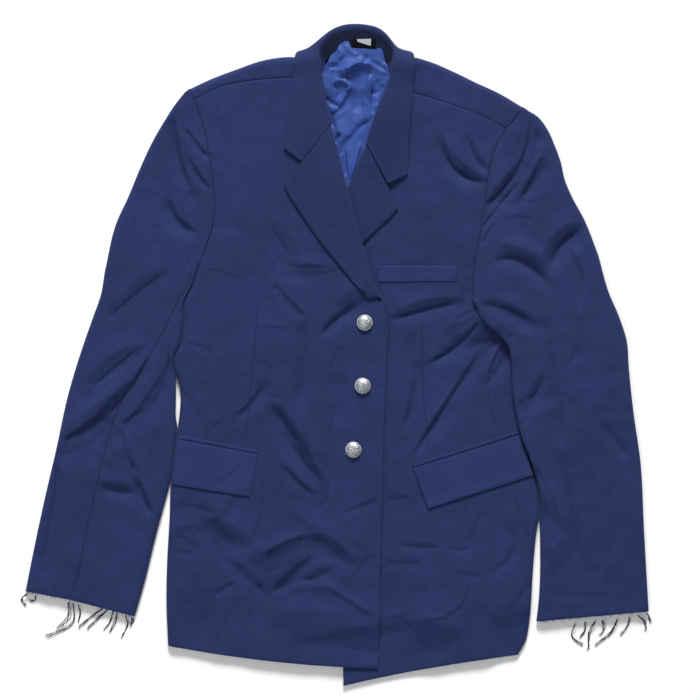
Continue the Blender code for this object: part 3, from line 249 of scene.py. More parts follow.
# The largest folds: a run through three points, its rise (down if negative) and its reach to each side
BODY_FOLDS = [Fold(*row) for row in (
    (-80, -48, -56, -98, -25, -145, -3.4, 15, 17), (-66, -30, -36, -88, -8, -140, 2.6, 16, 16),
    (-33, 42, -38, -16, -46, -78, -2.4, 15, 15), (2, -20, 0, -60, -8, -148, -2.8, 18, 15),
    (42, 64, 2, 42, -14, 18, -2.4, 15, 16), (-60, 0, -86, -42, -104, -60, -2.4, 15, 15),
    (-80, 170, -58, 115, -26, 82, -2.2, 18, 18),
    (-156, -190, -138, -222, -112, -250, -3.2, 16, 18),
    (-128, -236, -84, -232, -30, -212, 2.8, 15, 16),
    (-78, -284, -56, -266, -26, -238, -3.2, 15, 15),
    (-30, -214, -8, -230, 17, -248, -2.8, 15, 15), (-42, -265, 6, -284, 60, -314, 2.6, 16, 17),
    (-90, -262, -86, -290, -96, -330, -2.2, 17, 17),
    (-54, -341, -14, -340, 30, -338, -1.9, 16, 16), (10, -320, 34, -322, 54, -324, 1.6, 16, 16),
    (136, 258, 152, 218, 176, 196, -2.2, 17, 17), (165, 52, 150, 30, 134, 10, -2.6, 16, 16),
    (186, 24, 160, -12, 134, -46, -2.6, 15, 15), (92, 40, 100, -30, 104, -112, -1.6, 18, 18),
    (180, -190, 160, -260, 150, -340, 1.8, 20, 22),
    (110, -210, 96, -280, 90, -350, -1.8, 18, 20),
)]
RIGHT_SLEEVE_FOLDS = [Fold(*row) for row in (
    (-192, 284, -186, 240, -168, 184, -3.0, 14, 15),
    (-178, 270, -164, 240, -152, 214, 1.8, 13, 14),
    (-200, 186, -188, 160, -164, 142, -2.6, 15, 15),
    (-328, -108, -276, -76, -238, -24, -3.2, 12, 18),
    (-324, -84, -278, -54, -246, -10, 2.6, 16, 13),
    (-199, 2, -212, -40, -250, -80, -3.2, 12, 16),
    (-252, -96, -246, -120, -238, -134, 2.2, 14, 14),
    (-326, -148, -336, -210, -354, -280, -2.4, 16, 17),
    (-242, -148, -230, -172, -214, -192, -2.2, 13, 14),
    (-282, -153, -260, -164, -240, -160, -1.8, 13, 14),
)]
LEFT_SLEEVE_FOLDS = [Fold(*row) for row in (
    (230, 274, 222, 230, 184, 168, -3.4, 14, 14), (244, 262, 236, 226, 200, 176, 3.0, 13, 14),
    (252, 236, 240, 205, 218, 180, -2.4, 14, 14), (296, 152, 268, 128, 254, 104, -3.2, 17, 16),
    (186, 118, 222, 112, 256, 80, -3.0, 15, 14), (192, 142, 228, 134, 258, 96, 1.8, 14, 14),
    (212, 40, 240, 34, 262, 18, -2.4, 15, 15), (222, -64, 246, -54, 268, -38, -2.4, 14, 14),
    (261, -60, 266, -130, 272, -204, -1.6, 18, 20),
    (246, -170, 258, -196, 270, -218, -2.4, 13, 15),
    (314, -76, 334, -102, 352, -126, -1.8, 15, 15),
)]

# Long edges, in plan. The shoulder stretches belong to the back, which comes over the shoulder.
RIGHT_SHOULDER_FOLD = (-173, 317.5)
RIGHT_ARMHOLE = [
    (-168, 305), (-162, 290), (-156, 270), (-149, 234), (-145, 202), (-143, 182), (-147, 149),
    (-155, 126), (-163, 104),
]
RIGHT_SIDE = [
    (-163, 104), (-170, 84), (-179, 64), (-181, 36), (-184, 14), (-191, -2), (-192, -14),
    (-186, -34), (-184, -48), (-185, -66), (-188, -90), (-191, -112), (-194, -134), (-196, -155),
    (-197, -190), (-200, -243), (-201, -291), (-199, -346),
]
RIGHT_ROLL = [(-17, 333), (-12, 303), (-1, 259), (14, 200), (25, 156), (34, 129), (40, 103)]
RIGHT_CENTRE = [
    (40, 103), (49, 78), (60, 60), (64, 40), (62, 8), (60, -50), (58, -89), (57, -135),
    (55, -208), (52, -373),
]
LEFT_SHOULDER_FOLD = (223, 296)
LEFT_ARMHOLE = [
    (204, 270), (193, 253), (185, 228), (181, 205), (178, 180), (174, 150), (169, 124),
    (165, 94), (164, 66),
]
LEFT_SIDE = [
    (164, 66), (176, 50), (192, 32), (206, 16), (217, -4), (223, -40), (229, -90), (234.6, -130),
    (239, -146), (242.8, -170), (243.6, -188), (240.5, -207), (237.5, -235), (235.5, -262),
    (234, -290), (231.5, -318), (228, -338), (218, -357),
]
LEFT_ROLL = [(67, 320), (54, 299), (37, 253), (15, 200), (8, 150), (7, 66)]
LEFT_CENTRE = [(7, 66), (7, -150), (8, -300), (10, -394)]

# The shoulder fold and neck edge of the back, from the right shoulder point to the left one
BACK_TOP = [
    (-173, 317.5), (-146, 330), (-118, 340.5), (-89, 350.5), (-64, 355), (-44, 355), (-24, 352),
    (0, 360), (30, 366), (56, 360), (74, 352), (92, 355), (111, 350.5), (139, 339), (168, 325),
    (196, 312), (223, 296),
]
NECK_FROM, NECK_TO = -22, 72     # the back's edge is a neck seam between these, and a shoulder fold beyond
RIGHT_SHOULDER_SEAM = [(-168, 305), (-149, 314), (-136, 320), (-110, 326), (-61, 331), (-17, 333)]
LEFT_SHOULDER_SEAM = [(67, 320), (94, 313), (136, 300), (171, 287), (204, 270)]

RIGHT_SLEEVE_OUTER_HEAD = [
    (-180, 312.5), (-190, 300), (-203, 280), (-218, 254), (-232, 224), (-246, 190), (-261, 157),
    (-274.5, 100),
]
RIGHT_SLEEVE_OUTER = [
    (-274.5, 100), (-279, 73), (-288, 47), (-303, 4), (-318, -46), (-332, -110), (-346, -170),
    (-361, -240), (-369, -281),
]
RIGHT_SLEEVE_SEAM = [
    (-163, 104), (-174, 84), (-187, 64), (-199, 38), (-212, 14), (-233, -20), (-248, -42),
    (-261, -70), (-271, -102), (-284, -156), (-296, -211), (-308, -267), (-316, -291),
]
RIGHT_SLEEVE_INNER = [
    (-165.4, 99), (-168.5, 84), (-177.5, 64), (-179.5, 36), (-182.5, 14), (-189.5, -2),
    (-190.5, -16), (-189.6, -34), (-189.6, -50), (-189.8, -72), (-187, -92), (-189.5, -112),
    (-192.5, -134), (-197, -153), (-203, -175), (-212, -208), (-228, -273), (-239, -311),
]
LEFT_SLEEVE_OUTER_HEAD = [
    (230.5, 291.5), (240, 286), (253.5, 269), (262, 250), (269, 231), (274, 209), (282.5, 189),
    (297, 162), (314, 119),
]
LEFT_SLEEVE_OUTER = [
    (314, 119), (326, 76), (339, 45), (348, 16), (350, -12), (355.5, -65), (364.5, -130),
    (368, -200), (371.5, -262), (374, -305),
]
LEFT_SLEEVE_INNER = [
    (164, 66), (176, 41), (197, 22), (207, 8), (209, -4), (212, -52), (217, -77), (222, -98),
    (231, -120), (234.5, -131), (238.5, -146), (242, -170), (243.5, -192), (244.6, -226),
    (243, -290), (240, -317),
]

# Pieces that lie on the fronts, row by row: X and Y at the outer edge, and X and Y at the roll
RIGHT_LAPEL = [
    (-40, 229.4, -5, 275.5), (-50, 217, -2, 262), (-60, 204, 3, 246), (-57, 194, 7, 230),
    (-46, 177, 12, 209), (-36, 162, 17, 190), (-26, 147, 22, 170), (-15, 132, 27, 152),
    (-2, 116, 33, 132), (12, 99, 39, 110), (26, 82, 46, 88), (40, 68, 55, 70),
]
LEFT_LAPEL = [
    (63.4, 203.7, 36.9, 251.6), (65, 195, 33, 243), (75, 175, 27, 230), (66, 165, 22, 217),
    (54, 154, 15, 200), (44, 144, 11, 182), (34, 134, 9, 160), (24, 120, 8, 138),
    (17, 104, 8, 112),
]
# The collar: its outer edge, the middle of the leaf, the roll and the neck seam. turn is the angle of the
# way from leaf to stand: -90 where the leaf lies on a front, 90 where it lies under the back.
CollarRow = namedtuple("CollarRow", "ex ey ez mx my rx ry rz sx sy sz turn")
ON_FRONT = None      # height taken from the front below
COLLAR = [CollarRow(*row) for row in (
    (-61, 247, ON_FRONT, -39.6, 231, -4, 277, ON_FRONT, 0, 0, ON_FRONT, -90),
    (-58, 267, ON_FRONT, -36, 262, -9, 293, ON_FRONT, 0, 0, ON_FRONT, -90),
    (-53, 300, ON_FRONT, -34, 303, -13, 311, ON_FRONT, 0, 0, ON_FRONT, -90),
    (-50, 332, ON_FRONT, -34, 333, -16.5, 335, ON_FRONT, 0, 0, ON_FRONT, -90),
    (-48.5, 350, 16.0, -34, 352, -19, 355, 17.0, -13, 346, 9.5, -62),
    (-45, 361, 7.8, -33, 364, -20, 371, 12.0, -10, 352, 8.2, -8),
    (-36, 353, 1.7, -24, 366, -10, 383.5, 4.6, 0, 358, 7.6, 50),
    (-12, 346, 1.4, -4, 366, 5, 391.5, 1.8, 12, 362, 7.2, 84),
    (30, 343, 1.4, 30, 366, 31, 394, 1.4, 31, 365, 7.0, 90),
    (70, 345, 1.4, 62, 364, 54, 388, 1.8, 48, 361, 7.2, 84),
    (84, 354, 1.7, 76, 362, 66, 376, 4.6, 58, 355, 7.6, 50),
    (92, 360.5, 8.0, 80, 363, 70, 364, 12.0, 62, 348, 8.2, -8),
    (95, 349, 17.2, 82, 351, 69.5, 352, 17.6, 64, 341, 9.5, -62),
    (93, 325, ON_FRONT, 80, 328, 66, 333, ON_FRONT, 0, 0, ON_FRONT, -90),
    (92, 300, ON_FRONT, 76, 304, 58, 310, ON_FRONT, 0, 0, ON_FRONT, -90),
    (88, 262, ON_FRONT, 70, 264, 48, 284, ON_FRONT, 0, 0, ON_FRONT, -90),
    (86, 216, ON_FRONT, 63, 205, 37.5, 253, ON_FRONT, 0, 0, ON_FRONT, -90),
)]
RIGHT_HEM_BOW, LEFT_HEM_BOW = -5, 3   # how far up each hem bows at its middle
BOW_ROWS = 6
NEIGHBOURS = [(0, 0), (5, 0), (-5, 0), (0, 5), (0, -5)]

# Pocket pieces: four corners each, from the upper inner one round, on the front they are sewn to
RIGHT_JET = [(-183, -94.5), (-91, -112), (-92, -116.5), (-184, -99)]
RIGHT_FLAP = [(-187, -99.5), (-92, -117.2), (-101, -168), (-193.5, -153.5)]
LEFT_JET = [(92, -129), (218, -89), (219, -93), (93, -133)]
LEFT_FLAP = [(93, -134), (220, -94), (236, -142), (111, -182)]
BREAST_WELT = [(52, 108), (146, 108), (143.5, 88.5), (52, 88)]
BUTTONS = [(35.5, 39), (33, -36), (22, -112)]
LABEL = [(19, 377), (49, 377), (48, 367), (20, 367)]
LABEL_FACE = [(26, 376.5), (43, 377), (42.5, 368.5), (27, 373.4)]

# Satin lining where the open neck shows it: from X to X, at a Y
BACK_LINING = [
    (-4, 55, 351), (-26, 74, 337), (-28, 72, 305), (-18, 58, 262), (-6, 40, 220), (4, 26, 188),
]

# Loose threads of the cut sleeves: X and Y of the root, of the bend and of the tip
RIGHT_CUFF_THREADS = [
    (-367, -284, -375, -291, -368, -298), (-357, -286, -357.5, -292, -364, -293.5),
    (-318, -294.7, -319, -314, -331, -326), (-312, -295.5, -312, -316, -345, -335),
    (-306, -297, -304, -307, -307, -318), (-277, -302, -291, -313, -306, -324),
    (-271, -303, -284, -315, -296, -326), (-265, -305, -269, -318, -276, -327),
    (-260, -307, -262, -318, -268, -330), (-250, -310, -247, -320, -255, -335),
    (-243, -312, -240.5, -317, -245, -322),
]
LEFT_CUFF_THREADS = [
    (361, -310, 370, -319, 372, -329), (371, -307, 375, -312, 376, -319),
    (351, -312, 350, -322, 340, -333), (337, -314, 330, -330, 311, -347),
    (310, -317, 304, -328, 303, -352), (298, -318, 298, -329, 292, -336),
    (286, -320, 283, -336, 296, -346), (319, -316, 321, -326, 317, -334),
]

# Upper edge of the satin over the stand, and its folds
LINING_TOP = [
    (-30, 340.5), (-9, 351), (-6, 357), (2, 362.5), (5, 370), (11, 374), (16, 374.5),
    (19.5, 366), (33, 365.5), (48, 364), (52, 366.5), (57, 365), (60, 352), (80, 340.5),
]
LINING_FOLDS = [Fold(*row) for row in (
    (36, 367, 38, 358, 36, 350, -2.4, 4, 8), (0, 366, 8, 360, 4, 352, 2.4, 5, 7),
    (12, 372, 18, 362, 30, 358, 1.8, 6, 6), (50, 365, 54, 357, 60, 347, -2.0, 4, 6),
    (41, 338, 42, 310, 41, 276, 3.4, 4, 9), (-12, 342, 12, 341, 37, 357, 3.0, 4, 9),
    (36, 350, 48, 343, 64, 333, 3.0, 4, 8), (2, 330, 20, 334, 37, 339, -3.0, 5, 8),
    (-2, 320, 8, 322, 17, 317, -2.8, 4, 7), (44, 312, 52, 316, 58, 323, -2.8, 6, 8),
    (19, 325, 8, 302, -5, 288, 3.0, 4, 9), (41, 281, 25, 264, 4, 236, -4.4, 3, 8),
    (46, 302, 50, 286, 44, 268, 2.6, 5, 8), (6, 265, 3, 259, 0, 252, -3.0, 3, 6),
    (32, 258, 25, 232, 18, 208, 2.4, 4, 8), (-13, 308, -2, 300, 9, 295, -2.6, 5, 8),
    (29, 330, 27, 310, 25, 288, -2.0, 8, 8), (11, 250, 12, 232, 14, 212, -2.2, 4, 6),
    (-10, 300, -6, 285, -1, 270, -2.0, 5, 6), (52, 330, 49, 318, 43, 308, -2.4, 4, 6),
)]


def crease(x1, y1, x2, y2, x3, y3, rise, wide=10.0, steep=3.6):
    """A sharp crease: wide on one side, and steep on the side that the neck-ward light leaves dark."""
    neckward_left = (x3 - x1) * LIGHT_WAY[1] - (y3 - y1) * LIGHT_WAY[0] > 0
    if neckward_left == (rise < 0):
        return Fold(x1, y1, x2, y2, x3, y3, rise, steep, wide)
    return Fold(x1, y1, x2, y2, x3, y3, rise, wide, steep)


# A flat side of a fold: a run through three points, its width and its tilt. It rises towards the light,
# and so lies dark, if the tilt is positive. A wedge widens from its first point to its last.
Facet = namedtuple("Facet", "x1 y1 x2 y2 x3 y3 wide tilt wedge", defaults=(False,))

# Creases of the right front and the right sleeve, down if the rise is negative
RIGHT_CREASES = [crease(*row) for row in (
    (-96, -123, -123, -141, -148, -155, -1.4), (-84, -121, -85, -175, -98, -227, -2.0, 12),
    (-59, -90, -48, -113, -20, -149, -2.4), (-64, -127, -42, -152, -23, -165, -1.8),
    (-8, -130, -6, -155, -23, -190, -1.8, 9), (2, -191, 33, -179, 54, -172, -1.6),
    (-85, -236, -61, -221, -29, -211, 2.0), (-85, -258, -66, -252, -51, -242, -1.1),
    (-76, -284, -42, -268, -17, -268, -1.6), (-17, -268, 14, -289, 51, -312, 2.0),
    (-163, -200, -141, -220, -128, -262, -1.8), (-110, -264, -109, -274, -108, -283, -1.2),
    (-89, -270, -88, -280, -87, -289, -1.3), (-145, -288, -132, -277, -118, -272, -2.2),
    (-191, -210, -176, -221, -160, -232, -1.5), (-194, -233, -177, -235, -160, -235, -1.1),
    (-194, -207, -177, -203, -160, -200, 1.2), (-191, -177, -160, -182, -142, -190, -1.3),
    (-143, -353, -134, -326, -123, -302, -1.2, 9), (39, -239, 33, -250, 26, -261, -1.3),
    (39, -239, 47, -240, 55, -241, -1.1), (23, -221, 29, -229, 36, -236, -1.2),
    (-95, -285, -104, -320, -112, -351, -1.2), (-64, 121, -54, 107, 2, 107, -1.2),
    (-76, 83, -60, 72, -33, 40, -1.8), (-14, 21, -5, 38, 26, 58, -2.0),
    (-40, 43, -37, -2, -42, -72, -2.8, 11, 6), (5, 5, 6, -44, -2, -88, -2.4, 10, 6),
    (-11, -22, 1, -2, 8, 12, -1.5), (-82, -32, -101, -57, -117, -72, -2.0),
    (-82, -47, -72, -49, -61, -49, -1.1), (-73, -60, -54, -88, -42, -106, -2.6),
    (-64, -7, -59, -10, -54, -13, -1.0), (-85, -4, -80, -13, -76, -22, -1.2),
    (-180, 12, -163, 12, -145, 2, -1.5), (-117, -22, -111, -24, -104, -26, -1.0),
    (-182, -38, -168, -62, -160, -82, -1.6, 12, 8), (-89, 37, -72, 36, -54, 34, 1.2),
    (-148, -88, -139, -82, -129, -75, -1.2), (-86, 177, -70, 142, -50, 117, -1.1, 8),
    (-29, 246, -28, 228, -31, 191, -0.8), (-192, 290, -190, 250, -173, 196, -2.2),
    (-173, 196, -170, 190, -166, 183, -1.6), (-180, 272, -163, 249, -150, 234, -1.9),
    (-175, 238, -163, 215, -146, 194, -1.9), (-195, 188, -190, 165, -163, 145, -2.2),
    (-250, 166, -260, 130, -265, 102, 1.1), (-237, 166, -241, 141, -243, 117, -1.3, 8),
    (-212, 158, -214, 143, -216, 128, -1.3, 8), (-167, 135, -172, 118, -178, 102, -1.4, 8),
    (-198, 101, -232, 77, -270, 44, -1.6), (-289, -38, -261, -14, -232, 10, -1.8),
    (-330, -106, -299, -87, -270, -70, -3.8, 12, 4),
    (-272, -71, -243, -40, -222, 0, -3.8, 12, 4), (-198, 4, -199, -24, -204, -46, -4.0, 5, 4),
    (-200, -30, -210, -50, -224, -64, -3.0, 9, 5), (-224, -64, -240, -72, -252, -83, -2.4),
    (-252, -83, -249, -112, -232, -146, -2.2), (-272, -120, -266, -138, -256, -152, -1.4),
    (-280, -156, -262, -162, -241, -163, -1.8), (-236, -144, -228, -168, -217, -192, -2.4),
    (-328, -108, -336, -190, -350, -279, -3.6, 11, 7), (-294, -96, -297, -108, -299, -120, 1.2),
)]
RIGHT_FACETS = [Facet(*row) for row in (
    (-29, -211, -4, -229, 24, -247, 18, 0.28), (-78, -282, -52, -260, -26, -237, 11, 0.42),
    (-44, -265, -20, -258, 4, -248, 11, 0.4), (-155, -194, -126, -211, -97, -231, 20, 0.27),
    (-130, -239, -107, -257, -84, -280, 10, 0.42), (-87, -240, -61, -227, -29, -214, 12, 0.22),
    (-53, -341, 2, -338, 60, -334, 40, 0.2, True),
    (-188, -286, -165, -288, -140, -290, 60, 0.09), (-60, 101, -28, 102, 6, 103, 13, 0.24),
    (2, 60, 20, 66, 40, 76, 22, 0.2), (-78, -54, -50, -92, -19, -148, 16, 0.27),
    (-70, -122, -46, -147, -22, -166, 8, 0.32), (-66, 76, -52, 61, -34, 46, 9, 0.32),
    (-16, 25, -2, 42, 24, 64, 9, 0.36), (-60, -172, -30, -187, 0, -202, 22, -0.16),
    (-70, -300, -20, -292, 30, -306, 22, -0.18), (-150, 150, -110, 130, -90, 100, 30, -0.08),
    (-30, -128, -14, -150, -8, -185, 10, 0.3), (-120, -160, -128, -180, -140, -196, 12, 0.24),
    (-86, -38, -102, -60, -120, -72, 8, 0.34), (-108, -118, -124, -142, -150, -157, 8, 0.26),
    (-165, -204, -142, -224, -128, -262, 9, 0.26), (-294, -34, -262, -8, -226, 12, 20, 0.25),
    (-336, -114, -284, -86, -226, -10, 24, 0.28), (-254, -82, -224, -59, -197, -6, 16, 0.42),
    (-284, -152, -260, -155, -238, -163, 11, 0.34), (-196, 106, -232, 80, -272, 46, 18, 0.19),
    (-190, 284, -184, 235, -166, 190, 8, 0.4), (-197, 188, -186, 160, -160, 147, 11, 0.28),
    (-300, -62, -282, -50, -262, -32, 10, -0.26), (-238, -140, -227, -168, -214, -193, 9, 0.42),
    (-252, -90, -250, -112, -236, -140, 8, 0.36), (-176, 270, -162, 250, -148, 236, 7, 0.3),
    (-174, 234, -162, 216, -146, 198, 7, 0.28),
)]
LINING_FACETS = [Facet(*row) for row in (
    (12, 329, 26, 339, 43, 343, 14, 0.55), (-3, 320, 7, 322, 18, 313, 12, 0.5),
    (-17, 336, -6, 345, 6, 347, 8, 0.4), (45, 351, 56, 344, 65, 332, 7, 0.4),
    (42, 318, 46, 300, 42, 284, 7, 0.4), (20, 300, 30, 290, 40, 296, 26, -0.14),
    (2, 278, 14, 272, 24, 262, 18, -0.14),
)]
LEFT_FRONT_CREASES = [crease(*row) for row in (
    (66, 40, 110, 55, 147, 62, -2.2, 8), (140, 44, 152, 50, 165, 57, 1.8),
    (175, 47, 148, 14, 107, -12, -3.0, 12), (188, 22, 144, -42, 90, -124, -4.2, 9, 5),
    (202, 17, 190, -5, 181, -30, -3.4, 7), (95, 0, 94, -45, 80, -95, -2.8, 10, 6),
    (127, 263, 141, 224, 181, 204, -3.2), (156, 267, 168, 234, 181, 220, -1.8),
    (95, 323, 111, 326, 127, 330, -0.7), (155, 85, 152, 68, 150, 52, -1.2, 9),
    (57, -172, 75, -171, 92, -168, -1.3), (75, -224, 98, -229, 130, -227, -1.5),
    (57, -246, 80, -248, 106, -248, -1.4), (130, -227, 155, -231, 165, -216, -1.2),
    (156, -228, 166, -206, 176, -182, -1.4), (56, -311, 70, -310, 83, -308, 1.5),
    (79, -314, 86, -320, 93, -327, -1.4), (101, -314, 118, -312, 138, -312, 1.6),
    (56, -351, 80, -350, 106, -348, -1.4), (106, -348, 120, -354, 133, -347, -0.9),
    (130, -309, 141, -308, 148, -298, -1.4), (199, -205, 213, -234, 179, -265, -1.5),
    (179, -265, 162, -262, 144, -257, -1.2), (121, -240, 116, -266, 104, -289, -1.3),
    (155, -272, 155, -292, 142, -309, -1.4), (179, -295, 183, -310, 187, -324, -1.2),
    (233, -270, 218, -290, 205, -308, -1.5, 12), (200, -161, 201, -169, 203, -177, -1.0),
    (101, -160, 104, -172, 109, -185, -1.4),
)]
LEFT_FRONT_FACETS = [Facet(*row) for row in (
    (64, 44, 108, 60, 158, 66, 14, 0.34), (136, 40, 152, 46, 168, 53, 9, -0.3),
    (190, 26, 146, -40, 92, -120, 13, 0.42), (206, 16, 194, -4, 181, -34, 12, 0.75),
    (104, -14, 148, 16, 194, 34, 34, 0.34, True), (125, 270, 143, 229, 185, 207, 13, 0.4),
    (157, 270, 170, 238, 183, 224, 8, 0.36), (46, -332, 98, -333, 150, -332, 36, 0.17),
    (182, -320, 211, -320, 240, -318, 56, 0.12), (72, -220, 100, -225, 133, -226, 7, 0.12),
    (160, -18, 138, -46, 116, -78, 13, -0.16), (196, -206, 208, -232, 174, -262, 8, 0.16),
    (98, -4, 93, -45, 80, -92, 9, 0.26),
)]
LEFT_SLEEVE_CREASES = [crease(*row) for row in (
    (231, 281, 229, 250, 212, 215, -2.8, 8), (212, 215, 196, 193, 179, 179, -2.8, 8),
    (237, 272, 237, 245, 220, 208, -3.0, 6), (220, 208, 196, 178, 170, 144, -2.8, 6),
    (170, 144, 169, 135, 170, 126, -1.8), (245, 239, 236, 213, 218, 182, -2.2),
    (191, 161, 182, 145, 173, 129, -1.6), (200, 179, 222, 182, 245, 182, -1.0),
    (200, 163, 219, 164, 239, 163, -0.9), (188, 111, 222, 112, 257, 81, -2.6),
    (292, 149, 268, 131, 254, 99, -2.8, 13), (278, 126, 292, 90, 288, 45, -1.8, 9),
    (173, 61, 205, 55, 233, 39, -2.4), (210, 35, 212, 27, 205, 20, -1.8),
    (220, -57, 239, -44, 247, -19, -2.2), (273, -42, 278, -52, 283, -61, -1.4),
    (292, 7, 284, -2, 277, -12, -1.4), (315, -76, 336, -104, 353, -125, -1.2),
    (332, -42, 331, -57, 330, -72, -1.1, 9), (241, -138, 259, -176, 268, -218, -3.0),
    (250, 30, 262, -40, 271, -114, -3.6, 11, 8), (271, -110, 279, -182, 292, -256, -3.2, 11, 8),
    (218, -61, 226, -102, 239, -140, 2.4, 9, 5), (252, -286, 290, -287, 327, -286, -0.5),
)]
LEFT_SLEEVE_FACETS = [Facet(*row) for row in (
    (233, 283, 232, 248, 210, 212, 9, 0.4), (222, 232, 206, 203, 178, 178, 20, 0.36),
    (184, 112, 223, 114, 263, 80, 15, 0.23), (297, 156, 266, 137, 250, 94, 20, 0.26),
    (171, 64, 205, 58, 238, 38, 12, 0.23), (190, 46, 212, 38, 232, 24, 12, -0.3),
    (219, -57, 236, -42, 246, -12, 13, 0.3), (242, -200, 250, -226, 256, -252, 20, 0.2),
    (312, -71, 335, -99, 356, -124, 12, 0.13), (198, 138, 220, 136, 248, 122, 14, -0.22),
    (236, -146, 250, -184, 264, -226, 16, 0.4), (240, 268, 238, 240, 222, 212, 7, 0.36),
    (247, 238, 238, 214, 218, 184, 8, 0.36), (280, 128, 293, 92, 289, 46, 12, 0.3),
)]

# Sewn lines that shape the fronts: two darts on the right, a dart and the side panel's seam on the left
RIGHT_FRONT_LINES = [
    [(-160, 103.5), (-135, 101), (-92, 83), (-73, 65)],
    [(-92, 62), (-96, 6), (-101, -44), (-107, -100)],
]
LEFT_FRONT_LINES = [
    [(102.5, 46), (105, -20), (106, -60), (112, -115)], [(182, -45), (190, -75), (195, -90)],
    [(51.6, 88), (51.6, 108.5), (146.4, 108.5), (143.9, 88)],
    [(213, -165), (225, -196), (231, -217)],
]


def run_lengths(points):
    """How far along a line of points each one lies."""
    return np.concatenate([[0], np.cumsum(np.linalg.norm(np.diff(points, axis=0), axis=1))])


def smooth_curve(points, count):
    """Points evenly spaced along a smooth curve through the given ones."""
    through = np.array(points, float)
    chord = run_lengths(through)
    slope = np.gradient(through, chord, axis=0)
    fine = hermite(through, slope, chord, np.linspace(0, chord[-1], CURVE_POINTS * len(through)))
    run = run_lengths(fine)
    even = np.linspace(0, run[-1], count)
    return np.stack([np.interp(even, run, fine[:, i]) for i in range(fine.shape[1])], axis=1)


def hermite(through, slope, chord, at):
    """A smooth curve's points at the given distances along its chords."""
    k = np.clip(np.searchsorted(chord, at, side="right") - 1, 0, len(through) - 2)
    step = (chord[k + 1] - chord[k])[:, None]
    t = (at - chord[k])[:, None] / step
    return (
        (2 * t**3 - 3 * t**2 + 1) * through[k] + (t**3 - 2 * t**2 + t) * step * slope[k]
        + (3 * t**2 - 2 * t**3) * through[k + 1] + (t**3 - t**2) * step * slope[k + 1]
    )


def join_curves(first, first_rows, second, second_rows):
    """Two curves end to end, with that many sections of the pattern in each."""
    upper = smooth_curve(first, first_rows * SPLIT + 1)[:-1]
    return np.vstack([upper, smooth_curve(second, second_rows * SPLIT + 1)])


def unit(vectors):
    return vectors / np.linalg.norm(vectors, axis=-1, keepdims=True)


def mix_rows(first, second, shares):
    """Points between two columns of points, at each of the shares."""
    return first[:, None] * (1 - shares)[:, None] + second[:, None] * shares[:, None]


def with_height(plan, z):
    """Places in plan and their heights, as points."""
    return np.concatenate([plan, z[..., None]], axis=2)


def height_at(surface, plan):
    return surface(plan[..., 0], plan[..., 1])


def ease(value):
    """0 to 1 with level ends."""
    t = np.clip(value, 0, 1)
    return t * t * (3 - 2 * t)


def rises(value, start, over):
    """0 up to start, and 1 that far past it."""
    return ease((value - start) / over)


def falls(value, end, over):
    """1 until that far before end, and 0 from it on."""
    return ease((end - value) / over)


def spread_height(spots, x, y):
    """A smooth height through the spots."""
    total, weight = 0.0, 0.0
    for spot in spots:
        near = np.exp(-((x - spot.x) ** 2 + (y - spot.y) ** 2) / (2 * LOFT_SPREAD**2)) + 1e-9
        total = total + near * spot.high
        weight = weight + near
    return total / weight


def fold_places(fold, x, y, wide):
    """Which points lie near a fold, how far off its run, on which side and how far along it."""
    t = np.linspace(0, 1, RUN_POINTS)
    bend_x = 2 * fold.x2 - (fold.x1 + fold.x3) / 2
    bend_y = 2 * fold.y2 - (fold.y1 + fold.y3) / 2
    run_x = (1 - t) ** 2 * fold.x1 + 2 * t * (1 - t) * bend_x + t**2 * fold.x3
    run_y = (1 - t) ** 2 * fold.y1 + 2 * t * (1 - t) * bend_y + t**2 * fold.y3
    near = (x > run_x.min() - wide) & (x < run_x.max() + wide)
    near &= (y > run_y.min() - wide) & (y < run_y.max() + wide)
    px, py = x[near], y[near]
    best = np.full(px.shape, np.inf)
    side = np.zeros(px.shape)
    place = np.zeros(px.shape)
    for i in range(RUN_POINTS - 1):
        dx, dy = run_x[i + 1] - run_x[i], run_y[i + 1] - run_y[i]
        s = np.clip(((px - run_x[i]) * dx + (py - run_y[i]) * dy) / (dx * dx + dy * dy), 0, 1)
        away = np.hypot(px - run_x[i] - s * dx, py - run_y[i] - s * dy)
        nearer = away < best
        best = np.where(nearer, away, best)
        side = np.where(nearer, dx * (py - run_y[i]) - dy * (px - run_x[i]), side)
        place = np.where(nearer, (i + s) / (RUN_POINTS - 1), place)
    return near, best, side, place


def fold_height(fold, x, y, sharp):
    """What one fold adds: full along its run, easing to nothing at its ends and sides."""
    added = np.zeros(np.shape(x))
    near, best, side, place = fold_places(fold, x, y, max(fold.left, fold.right))
    reach = np.where(side > 0, fold.left, fold.right)
    slope = np.clip(1 - best / reach, 0, 1)
    ends = CREASE_ENDS if sharp else FOLD_ENDS
    along = ease(place / ends) * ease((1 - place) / ends)
    if sharp:
        line = np.clip(1 - best / (CREASE_LINE_REACH * reach), 0, 1) ** CREASE_LINE_POWER
        across = CREASE_LINE * line + (1 - CREASE_LINE) * slope
    else:
        soft = np.clip(1 - (best / reach) ** 2, 0, 1) ** 2
        across = FOLD_SOFT * soft + (1 - FOLD_SOFT) * slope
        along = FOLD_END_LEAST + (1 - FOLD_END_LEAST) * along
    added[near] = fold.rise * across * along
    return added


def folds_height(folds, x, y, sharp=False):
    return sum(fold_height(fold, x, y, sharp) for fold in folds)


